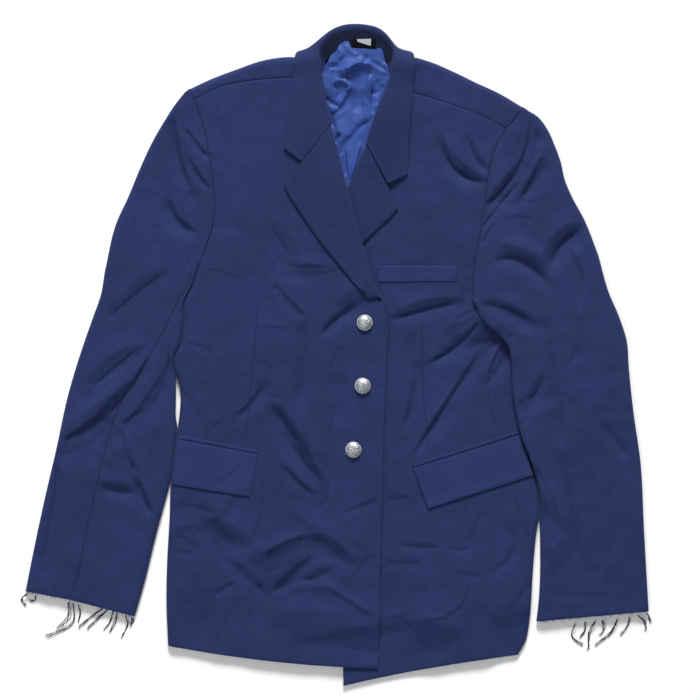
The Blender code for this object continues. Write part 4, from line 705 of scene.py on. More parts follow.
def facet_height(facet, x, y):
    """What one flat side of a fold adds: an even slope across its width, easing off beyond it."""
    added = np.zeros(np.shape(x))
    beyond = max(FACET_EASE, facet.wide)
    near, best, side, place = fold_places(facet, x, y, facet.wide / 2 + beyond)
    neckward = (facet.x3 - facet.x1) * LIGHT_WAY[1] - (facet.y3 - facet.y1) * LIGHT_WAY[0]
    away = best * np.sign(side) * np.sign(neckward)
    half = facet.wide / 2 * (place if facet.wedge else np.sin(np.pi * place) ** FACET_POINT)
    added[near] = facet.tilt * np.clip(away, -half, half) * np.clip(1 - (best - half) / beyond, 0, 1)
    return added


def facets_height(facets, x, y):
    return sum(facet_height(facet, x, y) for facet in facets)


def crease_height(creases, facets, x, y):
    """All the creases and the flat sides of folds of one part of the tunic, as deep as the panel says."""
    depth = bpy.context.scene.tunic_cloth.fold_depth
    return depth * (folds_height(creases, x, y, True) + facets_height(facets, x, y))


def ripple_height(x, y, seed):
    """Low, uneven waves all over the cloth, as handled cloth keeps."""
    draw = np.random.default_rng(seed)
    high = np.zeros(np.shape(x))
    for length, rise, count in RIPPLES:
        for _ in range(count):
            angle, start = draw.uniform(0, math.pi), draw.uniform(0, 2 * math.pi)
            bend = draw.uniform(*RIPPLE_BEND) * length
            wave = 2 * math.pi / (length * draw.uniform(*RIPPLE_STRETCH))
            across = x * math.cos(angle) + y * math.sin(angle)
            along = y * math.cos(angle) - x * math.sin(angle)
            swerve = RIPPLE_SWERVE * bend * np.sin(along * wave * 0.6 + start * 2)
            high = high + rise * np.sin((across + swerve) * wave + start)
    return high


def body_loft(x, y):
    return spread_height(LOFT, x, y) + folds_height(BODY_FOLDS + RIGHT_SLEEVE_FOLDS, x, y)


def right_front_detail(x, y):
    return crease_height(RIGHT_CREASES, RIGHT_FACETS, x, y) + ripple_height(x, y, 11)


def garment_top(x, y):
    """Top of the right front, the shoulders and the right sleeve."""
    return np.maximum(body_loft(x, y) + right_front_detail(x, y), LOWEST_TOP)


def plain_right_top(x, y):
    """The same without its creases."""
    return np.maximum(body_loft(x, y), LOWEST_TOP)


def left_front_top(x, y):
    """The left front lies lower where the right front and the lapels cover it."""
    past_edge = rises(x, *FRONT_EDGE)
    left = crease_height(LEFT_FRONT_CREASES, LEFT_FRONT_FACETS, x, y) + ripple_height(x, y, 12)
    high = body_loft(x, y) + right_front_detail(x, y) * (1 - past_edge) + left * past_edge
    return np.maximum(high - overlap_step(x, y), LOWEST_TOP)


def overlap_step(x, y):
    """How far the left front lies below the plain top of the garment."""
    lapels = np.exp(
        -(((x - LAPELS_AT[0]) / LAPELS_REACH[0]) ** 4) - ((y - LAPELS_AT[1]) / LAPELS_REACH[1]) ** 4
    )
    step = STEP_AT_OVERLAP + (STEP_AT_LAPELS - STEP_AT_OVERLAP) * lapels
    return step * (1 - rises(y, *STEP_END)) * (1 - rises(x, *COVERED_END) * (1 - lapels))


def plain_left_front(x, y):
    """The left front without its creases, which is what lies on it follows."""
    return np.maximum(body_loft(x, y) - overlap_step(x, y), LOWEST_TOP)


LEFT_SIDE_CURVE = smooth_curve(LEFT_SIDE, SIDE_POINTS)
RIGHT_SIDE_CURVE = smooth_curve(RIGHT_SIDE, SIDE_POINTS)


def side_x(curve, y):
    """Where one of the body's side folds lies."""
    return np.interp(-y, -curve[:, 1], curve[:, 0])


def left_sleeve_floor(x, y):
    """The left sleeve's underside: the table, and over the side of the body where it lies on it."""
    side = side_x(LEFT_SIDE_CURVE, y)
    over = 1 - rises(x - side, *SLEEVE_SIDE)
    along = falls(y, *SLEEVE_REST_TOP) * rises(y, *SLEEVE_REST_FOOT)
    flap = FLAP_UNDER_SLEEVE * rises(y, *FLAP_FOOT) * falls(y, *FLAP_TOP)
    return over * along * (plain_left_front(np.minimum(x, side), y) + SLEEVE_ON_BODY + flap)


def left_sleeve_top(x, y):
    high = spread_height(LEFT_SLEEVE_LOFT, x, y) + folds_height(LEFT_SLEEVE_FOLDS, x, y)
    high = high + crease_height(LEFT_SLEEVE_CREASES, LEFT_SLEEVE_FACETS, x, y) + ripple_height(x, y, 13)
    return np.maximum(high, left_sleeve_floor(x, y) + SLEEVE_LEAST)


def back_floor(x, y):
    """The back lies on the table, and on the collar's leaf behind the neck."""
    return LEAF_UNDER_BACK * rises(y, *LEAF_FOOT) * rises(x, *LEAF_RIGHT) * falls(x, *LEAF_LEFT)


def flat_floor(x, _):
    return np.zeros(np.shape(x))


def edge_stops(edge, reach):
    """Distances in from an edge, one row for each section, and the angle the cloth faces at each."""
    if edge.kind == "cut":
        return np.tile(CUT_STOPS, (len(reach), 1)), np.full(len(CUT_STOPS), 90.0)
    if edge.kind == "roll":
        angles = np.array(ROLL_ANGLES, float)
        return reach[:, None] * (1 - np.cos(np.radians(angles))), angles
    angles = np.array(WRAP_ANGLES, float)
    curve = reach[:, None] * (1 - np.cos(np.radians(angles)))
    share = np.linspace(0, 1, UNDER_COLUMNS)[:-1]
    under = edge.amount[:, None] * (1 - share) + reach[:, None] * share
    return np.hstack([under, curve]), np.concatenate([np.full(len(share), -90.0), angles])


def cloth_sections(start, stop, top, floor, face, near, far, columns, bow=None):
    """Outer and inner points of a cloth wall, one section for each pair of edge points.

    face is 1 for cloth whose outer face is up and -1 for cloth whose outer face is down. near and far
    say how the ends finish: cut, roll (a quarter turn, by its amount) or wrap (right round, the amount
    being how far it comes back underneath). bow moves each point in plan by its share of the width.
    """
    width = np.linalg.norm(stop - start, axis=1)
    along = (stop - start) / width[:, None]
    reach = np.minimum(FOLD_REACH, FOLD_SHARE * width)
    near_in, near_angle = edge_stops(near, reach)
    far_in, far_angle = edge_stops(far, reach)
    first = near_in[:, -1] + AFTER_CUT if near.kind == "cut" else reach
    last = far_in[:, -1] + AFTER_CUT if far.kind == "cut" else reach
    inside = first[:, None] + (width - first - last)[:, None] * np.linspace(0, 1, columns)
    distance = np.hstack([near_in, inside, width[:, None] - far_in[:, ::-1]])
    angle = np.radians(np.concatenate([near_angle, np.full(columns, 90.0), far_angle[::-1]]))
    counts = [len(near_angle), columns, len(far_angle)]
    lean = np.repeat([-1.0, 0.0, 1.0], counts)
    wraps = np.repeat([near.kind == "wrap", False, far.kind == "wrap"], counts)
    flat = np.zeros(len(width))
    roll = [edge.amount if edge.kind == "roll" else flat for edge in (near, far)]
    weight = np.repeat(np.stack([roll[0], flat, roll[1]], 1), counts, axis=1)
    plan = start[:, None] + along[:, None] * distance[..., None]
    if bow is not None:
        plan = plan + bow(distance / width[:, None])
    high, low = height_at(top, plan), height_at(floor, plan)
    centre, half = (high + low) / 2, (high - low) / 2
    gap = weight * SEAM_GAP / 2
    rolled = centre + face * (gap + (half - gap) * (1 - weight * (1 - np.sin(angle))))
    facing = np.where(wraps, angle, np.pi / 2 - weight * (np.pi / 2 - angle))
    z = np.where(wraps, centre + half * np.sin(angle), rolled)
    if face > 0:
        z = z - edge_dip(distance, width, near, far) * (angle > 0)
    upward = np.where(wraps, 1, face) * np.sin(facing)
    outer = with_height(plan, z)
    return outer, outer - CLOTH * with_height(along[:, None] * (lean * np.cos(facing))[..., None], upward)


def edge_dip(distance, width, near, far):
    """How far the face sinks at a cut edge or a seam, and along its first and last rows."""
    dip = np.zeros(distance.shape)
    for edge, away in ((near, distance), (far, width[:, None] - distance)):
        if edge.kind == "wrap":
            continue
        flat = 1 - edge.amount if edge.kind == "roll" else np.ones(len(width))
        dip = dip + EDGE_DIP * flat[:, None] * np.exp(-away / EDGE_ROUND)
    ends = np.zeros(len(width))
    ends[[0, -1]] = EDGE_DIP
    return np.maximum(dip, ends[:, None])


def wall_mesh(outer, inner, there):
    """Points, faces and cloth coordinates of a closed wall; there says which places have cloth."""
    if there is None:
        there = np.ones(outer.shape[:2], bool)
    number = np.full(there.shape, -1)
    number[there] = np.arange(there.sum())
    quads = np.stack([number[:-1, :-1], number[:-1, 1:], number[1:, 1:], number[1:, :-1]], axis=-1)
    quads = quads[(quads >= 0).all(axis=-1)]
    used = np.unique(quads)
    again = np.full(there.sum(), -1)
    again[used] = np.arange(len(used))
    quads = again[quads]
    count = len(used)
    edges = np.concatenate([quads[:, [k, (k + 1) % 4]] for k in range(4)])
    whole, back = edges @ [count, 1], edges @ [1, count]
    rim = edges[~np.isin(whole, back)]
    skirt = np.column_stack([rim[:, 1], rim[:, 0], rim[:, 0] + count, rim[:, 1] + count])
    faces = np.vstack([quads, quads[:, ::-1] + count, skirt])
    points = np.vstack([outer[there][used], inner[there][used]])
    across = np.nan_to_num(np.linalg.norm(np.diff(outer, axis=1), axis=2))
    u = np.hstack([np.zeros((len(outer), 1)), np.cumsum(across, axis=1)])
    down = np.nan_to_num(np.linalg.norm(np.diff(outer, axis=0), axis=2))
    v = np.vstack([np.zeros((1, outer.shape[1])), np.cumsum(down, axis=0)])
    cloth = np.stack([u - u.mean(axis=1, keepdims=True), v], axis=-1)[there][used]
    return points, faces, np.vstack([cloth, cloth])


def add_piece(name, mesh, finish):
    """The mesh as an object of its finish that rides on the tunic."""
    mesh.materials.append(finish)
    made = bpy.data.objects.new(name, mesh)
    bpy.context.collection.objects.link(made)
    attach(made, "root")
    return made


def add_cloth(name, outer, inner, finish, there=None):
    """A closed cloth wall as an object, with its own cloth coordinates."""
    points, faces, cloth = wall_mesh(outer, inner, there)
    corner = points[faces]
    spread = np.cross(corner[:, 2] - corner[:, 0], corner[:, 3] - corner[:, 1])
    if np.einsum("ij,ij->", corner.mean(axis=1), spread) < 0:
        faces = faces[:, ::-1]
    mesh = bpy.data.meshes.new(name)
    mesh.from_pydata((points * MM).tolist(), [], faces.tolist())
    layer = mesh.uv_layers.new(name="cloth")
    layer.data.foreach_set("uv", (cloth[faces.ravel()] * MM).ravel())
    mesh.shade_smooth()
    mesh.set_sharp_from_angle(angle=math.radians(SHARP_ANGLE))
    return add_piece(name, mesh, finish)


def inset(edge, other, distance):
    """Edge points moved towards the points across from them."""
    way = other - edge
    return edge + way * (np.asarray(distance).reshape(-1, 1) / np.linalg.norm(way, axis=1)[:, None])


def pattern_rows(rows):
    """The pattern section that each row of points lies at."""
    return np.arange(rows) / SPLIT


def seam_inset(rows, seam_rows, lap=0.0):
    """Half a seam's gap along the seam, with what it's lapped by, and nothing after it."""
    section = pattern_rows(rows)
    return np.where(section <= seam_rows, SEAM_GAP / 2 + lap, 0.0) * np.clip(section, TIP_GAP, 1)


def side_roll(rows, seam_rows):
    """No curve along the armhole, and a full one from a little below it."""
    return End("roll", ease((pattern_rows(rows) - seam_rows + 0.5) / 2))


def bows(seam, hem, reach):
    """How far each row bows in plan: onto the shoulder seam at the top, by hem at the bottom."""
    run = run_lengths(seam)
    shares = np.linspace(0, 1, 101)
    curve = np.column_stack([np.interp(shares * run[-1], run, seam[:, k]) for k in range(2)])
    off = curve - (curve[0] + np.outer(shares, curve[-1] - curve[0]))

    def bow(share):
        rows = pattern_rows(len(share))
        first = ease(1 - rows / reach)[:, None]
        last = hem * ease(1 - (rows[-1] - rows) / reach)[:, None]
        sideways = first * np.interp(share, shares, off[:, 0])
        upward = first * np.interp(share, shares, off[:, 1]) + 4 * share * (1 - share) * last
        return np.stack([sideways, upward], -1)

    return bow


def shoulder_return(edges, seams):
    """The back's cloth coming up over the shoulder fold, from under it to the shoulder seam."""
    width = np.linalg.norm(seams - edges, axis=1)
    into = (seams - edges) / width[:, None]
    reach = np.minimum(FOLD_REACH, SHOULDER_SHARE * width)
    curve = np.radians([-90, *WRAP_ANGLES, 90])
    flat = np.linspace(0, 1, RETURN_FLATS + 1)[1:]
    turn = np.concatenate([curve, np.full(len(flat), np.pi / 2)])
    over = np.outer(reach, 1 - np.cos(curve))
    beyond = reach[:, None] + (width - SEAM_GAP / 2 - reach)[:, None] * flat
    distance = np.hstack([over, beyond])
    plan = edges[:, None] + into[:, None] * distance[..., None]
    high, low = height_at(garment_top, plan), height_at(back_floor, plan)
    z = (high + low) / 2 + (high - low) / 2 * np.sin(turn)
    z = z - EDGE_DIP * np.exp(-(width[:, None] - distance) / EDGE_ROUND)
    outer = with_height(plan, z)
    out = into[:, None] * (-np.cos(turn))[None, :, None]
    return outer, outer - CLOTH * with_height(out, np.broadcast_to(np.sin(turn), z.shape))


def armhole_edge(shoulder_fold, armhole):
    """From the shoulder fold to the shoulder seam's end and down the armhole."""
    over = np.linspace(shoulder_fold, armhole[0], SPLIT + 1)[:-1]
    return np.vstack([over, smooth_curve(armhole, ARMHOLE_ROWS * SPLIT + 1)])


def back_sections():
    """The back up to both shoulder seams: its points, where there is cloth, and the two seams."""
    right, left = (
        np.vstack([armhole_edge(fold, armhole)[:-1], smooth_curve(side, BODY_ROWS * SPLIT + 1)])
        for fold, armhole, side in (
            (RIGHT_SHOULDER_FOLD, RIGHT_ARMHOLE, RIGHT_SIDE), (LEFT_SHOULDER_FOLD, LEFT_ARMHOLE, LEFT_SIDE),
        )
    )
    half_gap = seam_inset(len(right), ARMHOLE_ROWS + 1, UNDER_LAP)
    near, far = inset(right, left, half_gap), inset(left, right, half_gap)
    keep = np.unique(np.concatenate([np.arange(0, len(near), BACK_ROW_STEP), [len(near) - 1]]))
    amount = side_roll(len(near), ARMHOLE_ROWS + 1).amount[keep]

    def sections(rows, bow=None):
        roll = End("roll", amount[:len(rows)])
        ends = near[rows], far[rows]
        return cloth_sections(*ends, garment_top, back_floor, -1, roll, roll, BACK_COLUMNS, bow)

    flat_first = sections(keep[:1])[0][0]
    edge_x = flat_first[:, 0]
    arch = smooth_curve(BACK_TOP, 200)
    edges = np.column_stack([edge_x, np.interp(edge_x, arch[:, 0], arch[:, 1])])
    seams = np.full(edges.shape, np.nan)
    places = np.linspace(0, 1, 100)
    for beyond, corner, seam in (
        (edge_x <= NECK_FROM, (edge_x - edge_x[0]) / (NECK_FROM - edge_x[0]), RIGHT_SHOULDER_SEAM),
        (edge_x >= NECK_TO, (edge_x - NECK_TO) / (edge_x[-1] - NECK_TO), LEFT_SHOULDER_SEAM),
    ):
        line = smooth_curve(seam, len(places))
        for k in range(2):
            seams[beyond, k] = np.interp(corner[beyond], places, line[:, k])
    shoulders = ~np.isnan(seams[:, 0])
    back_up, back_in = shoulder_return(edges[shoulders], seams[shoulders])
    heads = edges.copy()
    heads[shoulders] = back_up[:, 0, :2]
    shift = heads - flat_first[:, :2]
    from_ends = ease(np.minimum(edge_x - edge_x[0], edge_x[-1] - edge_x) / 30)
    rows = keep[:, None] / SPLIT

    def bow(_):
        return shift * (ease(1 - rows / ARCH_ROWS) * np.where(rows > 0, from_ends, 1))[..., None]

    walls = []
    for cloth, wall in zip((back_up, back_in), sections(keep, bow)):
        strip = np.full((cloth.shape[1] - 1, len(edges), 3), np.nan)
        strip[:, shoulders] = cloth[:, 1:].transpose(1, 0, 2)[::-1]
        walls.append(np.vstack([strip, wall]))
    seam_line = back_up[:, -1, :2]
    right_of_neck = seam_line[:, 0] < 0
    return *walls, ~np.isnan(walls[0][..., 0]), seam_line[right_of_neck], seam_line[~right_of_neck]


def front_sections(right):
    """Outer and inner points of the right or the left front."""
    _, _, _, *shoulder_seams = back_sections()
    if right:
        side = join_curves(RIGHT_ARMHOLE, ARMHOLE_ROWS, RIGHT_SIDE, BODY_ROWS)
        centre = join_curves(RIGHT_ROLL, ARMHOLE_ROWS, RIGHT_CENTRE, BODY_ROWS)
        lapel_end = RIGHT_LAPEL_END
        bow = bows(shoulder_seams[0], RIGHT_HEM_BOW, BOW_ROWS)
    else:
        side = join_curves(LEFT_ARMHOLE, ARMHOLE_ROWS, LEFT_SIDE, BODY_ROWS)
        centre = join_curves(LEFT_ROLL, ARMHOLE_ROWS, LEFT_CENTRE, BODY_ROWS)
        lapel_end = LEFT_LAPEL_END
        bow = bows(shoulder_seams[1], LEFT_HEM_BOW, BOW_ROWS)
    rows = len(side)
    side = inset(side, centre, seam_inset(rows, ARMHOLE_ROWS))
    under_lapel = ease((ARMHOLE_ROWS + lapel_end - pattern_rows(rows)) / LAPEL_END_EASE)
    centre = inset(centre, side, ROLL_SET_BACK * under_lapel)
    side[0, 1] -= SEAM_GAP
    centre[0, 1] -= SEAM_GAP
    roll = side_roll(rows, ARMHOLE_ROWS)
    if right:
        return cloth_sections(side, centre, garment_top, flat_floor, 1, roll, CUT, FRONT_COLUMNS, bow)
    return cloth_sections(centre, side, left_front_top, flat_floor, 1, CUT, roll, FRONT_COLUMNS, bow)


def right_sleeve_sections():
    """The two pieces of the right sleeve, each folded round one edge; their seam shows on top."""
    outer_fold = join_curves(RIGHT_SLEEVE_OUTER_HEAD, ARMHOLE_ROWS + 1, RIGHT_SLEEVE_OUTER, SLEEVE_ROWS)
    armhole = armhole_edge(RIGHT_SHOULDER_FOLD, RIGHT_ARMHOLE)
    seam = smooth_curve(RIGHT_SLEEVE_SEAM, SLEEVE_ROWS * SPLIT + 1)
    top_edge = np.vstack([armhole[:-1], seam])
    top_edge = inset(top_edge, outer_fold, seam_inset(len(top_edge), len(top_edge)))
    wrap = End("wrap", np.linalg.norm(top_edge - outer_fold, axis=1) + UNDER_LAP)
    top = cloth_sections(outer_fold, top_edge, garment_top, flat_floor, 1, wrap, CUT, SLEEVE_COLUMNS)
    inner_fold = smooth_curve(RIGHT_SLEEVE_INNER, SLEEVE_ROWS * SPLIT + 1)
    body_side = side_x(RIGHT_SIDE_CURVE, inner_fold[:, 1])
    inner_fold[:, 0] = np.minimum(inner_fold[:, 0], body_side - TOUCH_GAP)
    under_seam = inset(seam, inner_fold, SEAM_GAP / 2)
    wrap = End("wrap", np.linalg.norm(under_seam - inner_fold, axis=1) - 2 * UNDER_LAP)
    under = cloth_sections(
        under_seam, inner_fold, garment_top, flat_floor, 1, CUT, wrap, UNDER_SLEEVE_COLUMNS,
    )
    return top, under


def left_sleeve_sections():
    """The left top sleeve covers the whole upper face; the under sleeve lies beneath."""
    outer_fold = join_curves(LEFT_SLEEVE_OUTER_HEAD, ARMHOLE_ROWS + 1, LEFT_SLEEVE_OUTER, SLEEVE_ROWS)
    armhole = armhole_edge(LEFT_SHOULDER_FOLD, LEFT_ARMHOLE)
    inner = smooth_curve(LEFT_SLEEVE_INNER, SLEEVE_ROWS * SPLIT + 1)
    beside = inner[:, 1] < LEFT_SLEEVE_OFF_BODY
    body_side = side_x(LEFT_SIDE_CURVE, inner[beside, 1])
    inner[beside, 0] = np.maximum(inner[beside, 0], body_side + TOUCH_GAP)
    inner_fold = np.vstack([armhole[:-1], inner])
    head = ARMHOLE_ROWS + 1
    near = inset(inner_fold, outer_fold, seam_inset(len(inner_fold), head))
    width = np.linalg.norm(near - outer_fold, axis=1)
    folded = np.minimum(FOLD_REACH, FOLD_SHARE * width) + UNDER_CLEAR
    back_reach = np.maximum(LEFT_UNDER_SHARE * width, folded)
    roll, wrap = side_roll(len(near), head), End("wrap", back_reach)
    surfaces = left_sleeve_top, left_sleeve_floor
    top = cloth_sections(near, outer_fold, *surfaces, 1, roll, wrap, SLEEVE_COLUMNS)
    under_far = inset(outer_fold, near, back_reach + SEAM_GAP)
    under_near = inset(inner_fold, outer_fold, -2 * seam_inset(len(inner_fold), head))
    return top, cloth_sections(under_near, under_far, *surfaces, -1, roll, CUT, UNDER_COLUMNS)


def fine_rows(table, corners, spacing):
    """A table of sections refined between its corner rows, which stay sharp."""
    rows = np.array(table, float)
    parts = []
    for first, last in zip(corners, corners[1:]):
        stretch = rows[first:last + 1]
        length = np.linalg.norm(np.diff(stretch[:, :2], axis=0), axis=1).sum()
        parts.append(smooth_curve(stretch, max(2, round(length / spacing) + 1))[:-1])
    return np.vstack([*parts, rows[corners[-1]:corners[-1] + 1]])


def resting_height(x, y, plain, below):
    """How high a flat piece lies on a panel: over its creases, and clear of its ridges."""
    around = np.mean([plain(x + dx, y + dy) for dx, dy in NEIGHBOURS], axis=0)
    return np.maximum(around + REST_CLEAR, below(x, y) + RIDGE_CLEAR)


def quad_sections(corners, plain, below, cloth, gap, curl=0.0, spacing=TRIM_SPACING):
    """A flat four-cornered piece that lies on a panel, its edges turned in and its far edge curled up.

    The corners go from the upper near one round.
    """
    corner = np.array(corners, float)
    rows = max(4, round(math.dist(corner[0], corner[3]) / spacing) + 1)
    columns = max(4, round(math.dist(corner[0], corner[1]) / spacing) + 1)
    side = np.linspace(0, 1, rows)[:, None]
    near_edge = corner[0] * (1 - side) + corner[3] * side
    far_edge = corner[1] * (1 - side) + corner[2] * side
    share = np.linspace(0, 1, columns)
    plan = mix_rows(near_edge, far_edge, share)
    rest = resting_height(plan[..., 0], plan[..., 1], plain, below) + gap
    width = np.linalg.norm(far_edge - near_edge, axis=1)[:, None]
    down = run_lengths(near_edge)[:, None]
    edge = np.minimum(np.minimum(share * width, (1 - share) * width), np.minimum(down, down[-1] - down))
    low = rest + curl * ease(1 - (down[-1] - down) / CURL_LENGTH)
    high = low + cloth - LEAF_ROUND * cloth * np.exp(-edge / LEAF_EASE)
    return with_height(plan, high), with_height(plan, low)


def right_front_plain(x, y):
    """The right front without its creases, falling away at the side fold."""
    out = np.clip(1 - (x - side_x(RIGHT_SIDE_CURVE, y)) / FOLD_REACH, 0, WIDEST_OUT)
    high = plain_right_top(x, y)
    return high / 2 + high / 2 * np.sqrt(1 - out**2)


def right_front_face(x, y):
    return right_front_plain(x, y) + garment_top(x, y) - plain_right_top(x, y)


def lapel_sections(table, corners, plain, below):
    """A lapel from its edge to its roll, which turns down over the front's cut edge."""
    rows = fine_rows(table, corners, TRIM_SPACING)
    edge, roll = rows[:, :2], rows[:, 2:]
    width = np.linalg.norm(roll - edge, axis=1)
    along = (roll - edge) / width[:, None]
    flat = (width - LAPEL_TURN)[:, None] * np.concatenate([[0, 0.012, 0.03], np.linspace(0.06, 1, 26)])
    turn = np.radians(np.linspace(80, -20, 9))
    turned = (width[:, None] - LAPEL_TURN) + LAPEL_TURN * np.cos(turn)
    distance = np.hstack([flat, turned])
    angle = np.concatenate([np.full(flat.shape[1], np.pi / 2), turn])
    plan = edge[:, None] + along[:, None] * distance[..., None]
    x, y = plan[..., 0], plan[..., 1]
    spring = LAPEL_SPRING * ease(distance / width[:, None])
    top = resting_height(x, y, plain, below) + LAY_GAP + COLLAR_CLOTH + spring
    low = below(x, y) - CLOTH
    z = low + np.where(angle > 0, 1.0, LAPEL_UNDER) * (top - low) * np.sin(angle)
    down = run_lengths(edge)[:, None]
    outside = np.minimum(distance, np.minimum(down, down[-1] - down))
    lying = np.arange(len(angle)) < flat.shape[1]
    z = z - np.where(lying, LEAF_ROUND * COLLAR_CLOTH * np.exp(-outside / LAPEL_EASE), 0)
    face = with_height(plan, z)
    out = along[:, None] * np.cos(angle)[None, :, None]
    return face, face - COLLAR_CLOTH * with_height(out, np.broadcast_to(np.sin(angle), z.shape))


def collar_rows():
    """The collar's table with the heights filled in where it lies on a front, and its seam there."""
    rows = []
    leaf_z = LAY_GAP + COLLAR_CLOTH / 2
    for row in COLLAR:
        if row.ez is ON_FRONT:
            below = garment_top if row.ex < NECK_SIDE_X else left_front_top
            edge, roll = (row.ex, row.ey), (row.rx, row.ry)
            high = [float(below(np.array([x], float), np.array([y], float))[0]) for x, y in (edge, roll)]
            rz = high[1] + leaf_z + COLLAR_ROLL_LIFT
            back = (COLLAR_TURN + COLLAR_SET_BACK) / math.dist(edge, roll)
            row = row._replace(
                ez=high[0] + leaf_z + COLLAR_EDGE_LIFT, rz=rz, sz=rz - 2 * COLLAR_TURN,
                sx=row.rx - back * (row.rx - row.ex), sy=row.ry - back * (row.ry - row.ey),
            )
        rows.append(row)
    return np.array(rows, float)


def collar_sections():
    """One band: leaf, roll and stand, swept round the neck."""
    table = collar_rows()
    chord = run_lengths(table[:, 5:7])
    at = np.sort(np.unique(np.concatenate([chord, np.linspace(0, chord[-1], COLLAR_STATIONS)])))
    at = at[np.concatenate([[True], np.diff(at) > 0.5])]
    sections = hermite(table, np.gradient(table, chord, axis=0), chord, at)
    edge, roll, seam = sections[:, :3], sections[:, 5:8], sections[:, 8:11]
    middle_high = sections[:, 2] * (1 - LEAF_MIDDLE) + sections[:, 7] * LEAF_MIDDLE
    leaf_middle = np.column_stack([sections[:, 3:5], middle_high])
    along = unit(roll - leaf_middle)
    turn = np.radians(sections[:, 11])[:, None]
    way = np.cos(turn) * np.array([0, -1.0, 0]) + np.sin(turn) * np.array([0, 0, 1.0])
    way = unit(way - along * np.sum(way * along, axis=1, keepdims=True))
    centre = roll - along * COLLAR_TURN + way * COLLAR_TURN
    arc = np.stack([
        centre + COLLAR_TURN * (along * math.cos(a) + way * math.sin(a))
        for a in np.radians(np.linspace(-90, 90, 13))
    ], axis=1)
    leaf_from = mix_rows(edge, leaf_middle, np.concatenate([[0, 0.03, 0.07], np.linspace(0.14, 1, 13)]))
    leaf_to = mix_rows(leaf_middle, arc[:, 0], np.linspace(0, 1, 12)[1:-1])
    stand = mix_rows(arc[:, -1], seam, np.linspace(0, 1, 9)[1:])
    middle = np.concatenate([leaf_from, leaf_to, arc, stand], axis=1)
    half = COLLAR_CLOTH / 2
    leaf = leaf_from.shape[1] + leaf_to.shape[1]
    x, y = middle[:, :leaf, 0], middle[:, :leaf, 1]
    under = np.where(x < NECK_SIDE_X, garment_top(x, y), left_front_top(x, y))
    on_front = falls(sections[:, 11], *ON_FRONT_TURN)[:, None]
    clear = under + LAY_GAP * COLLAR_LEAST_LIFT + half
    middle[:, :leaf, 2] += on_front * np.maximum(clear - middle[:, :leaf, 2], 0)
    normal = unit(np.cross(np.gradient(middle, axis=1), np.gradient(middle, axis=0)))
    thin = np.ones(middle.shape[:2])
    thin[:, :leaf] -= COLLAR_ROUND * np.exp(-np.linalg.norm(middle[:, :leaf] - middle[:, :1], axis=2))
    faces = [middle + half * thin[..., None] * normal, middle - half * normal]
    for face in faces:
        face[..., 2] = np.maximum(face[..., 2], 0)
    return faces


def lining_top(x):
    """Uneven upper edge of the satin, which has slid up over the stand beside the label."""
    return np.interp(x, *zip(*LINING_TOP))


def lining_height(x, y):
    """The satin's folds behind the neck: a pleat, a fold across it and slack folds running to the V."""
    stand_edge = STAND_EDGE_HIGH - STAND_EDGE_DROP * ((x - STAND_EDGE_X) / STAND_EDGE_HALF) ** 2
    right, left, beside = STAND_SIDES
    below, over = STAND_CLIMB
    climb = rises(y - stand_edge, -below, over) * rises(x, right, beside) * falls(x, left, beside)
    middle = LINING_MIDDLE[0] + LINING_LEAN * (y - LINING_MIDDLE[1])
    past, ends = LINING_EDGE
    inside = np.clip(1 - ((x - middle) / LINING_HALF) ** 4, 0, 1) * falls(y, lining_top(x) + past, ends)
    folds = folds_height(LINING_FOLDS, x, y, True) + facets_height(LINING_FACETS, x, y)
    low = back_floor(x, y + LEAF_BELOW) + CLOTH + LINING_FLOOR
    low = low + inside * (LINING_FULL + LINING_DEPTH * folds)
    high = stand_top(x, y) + LINING_LIFT + np.maximum(folds, 0)
    return low + (np.maximum(high, low) - low) * climb + ripple_height(x, y, 14)


def lining_sections():
    rows = smooth_curve(BACK_LINING, LINING_ROWS)
    plan = mix_rows(rows[:, [0, 2]], rows[:, [1, 2]], np.linspace(0, 1, LINING_COLUMNS))
    climb = np.clip((plan[..., 1] - LINING_CLIMB) / (rows[0, 2] - LINING_CLIMB), 0, 1)
    plan[..., 1] += climb * (lining_top(plan[..., 0]) - rows[0, 2])
    x, y = plan[..., 0], plan[..., 1]
    rest = np.maximum(lining_height(x, y), back_floor(x, y + LEAF_BELOW) + CLOTH + LINING_LOW)
    return with_height(plan, rest + LINING), with_height(plan, rest)


def stand_top(x, y):
    """Upper face of the collar's stand behind the neck."""
    return np.interp(y, [360, 366, 388, 394], [8.3, 8.4, 7.9, 6.6]) + 0 * x


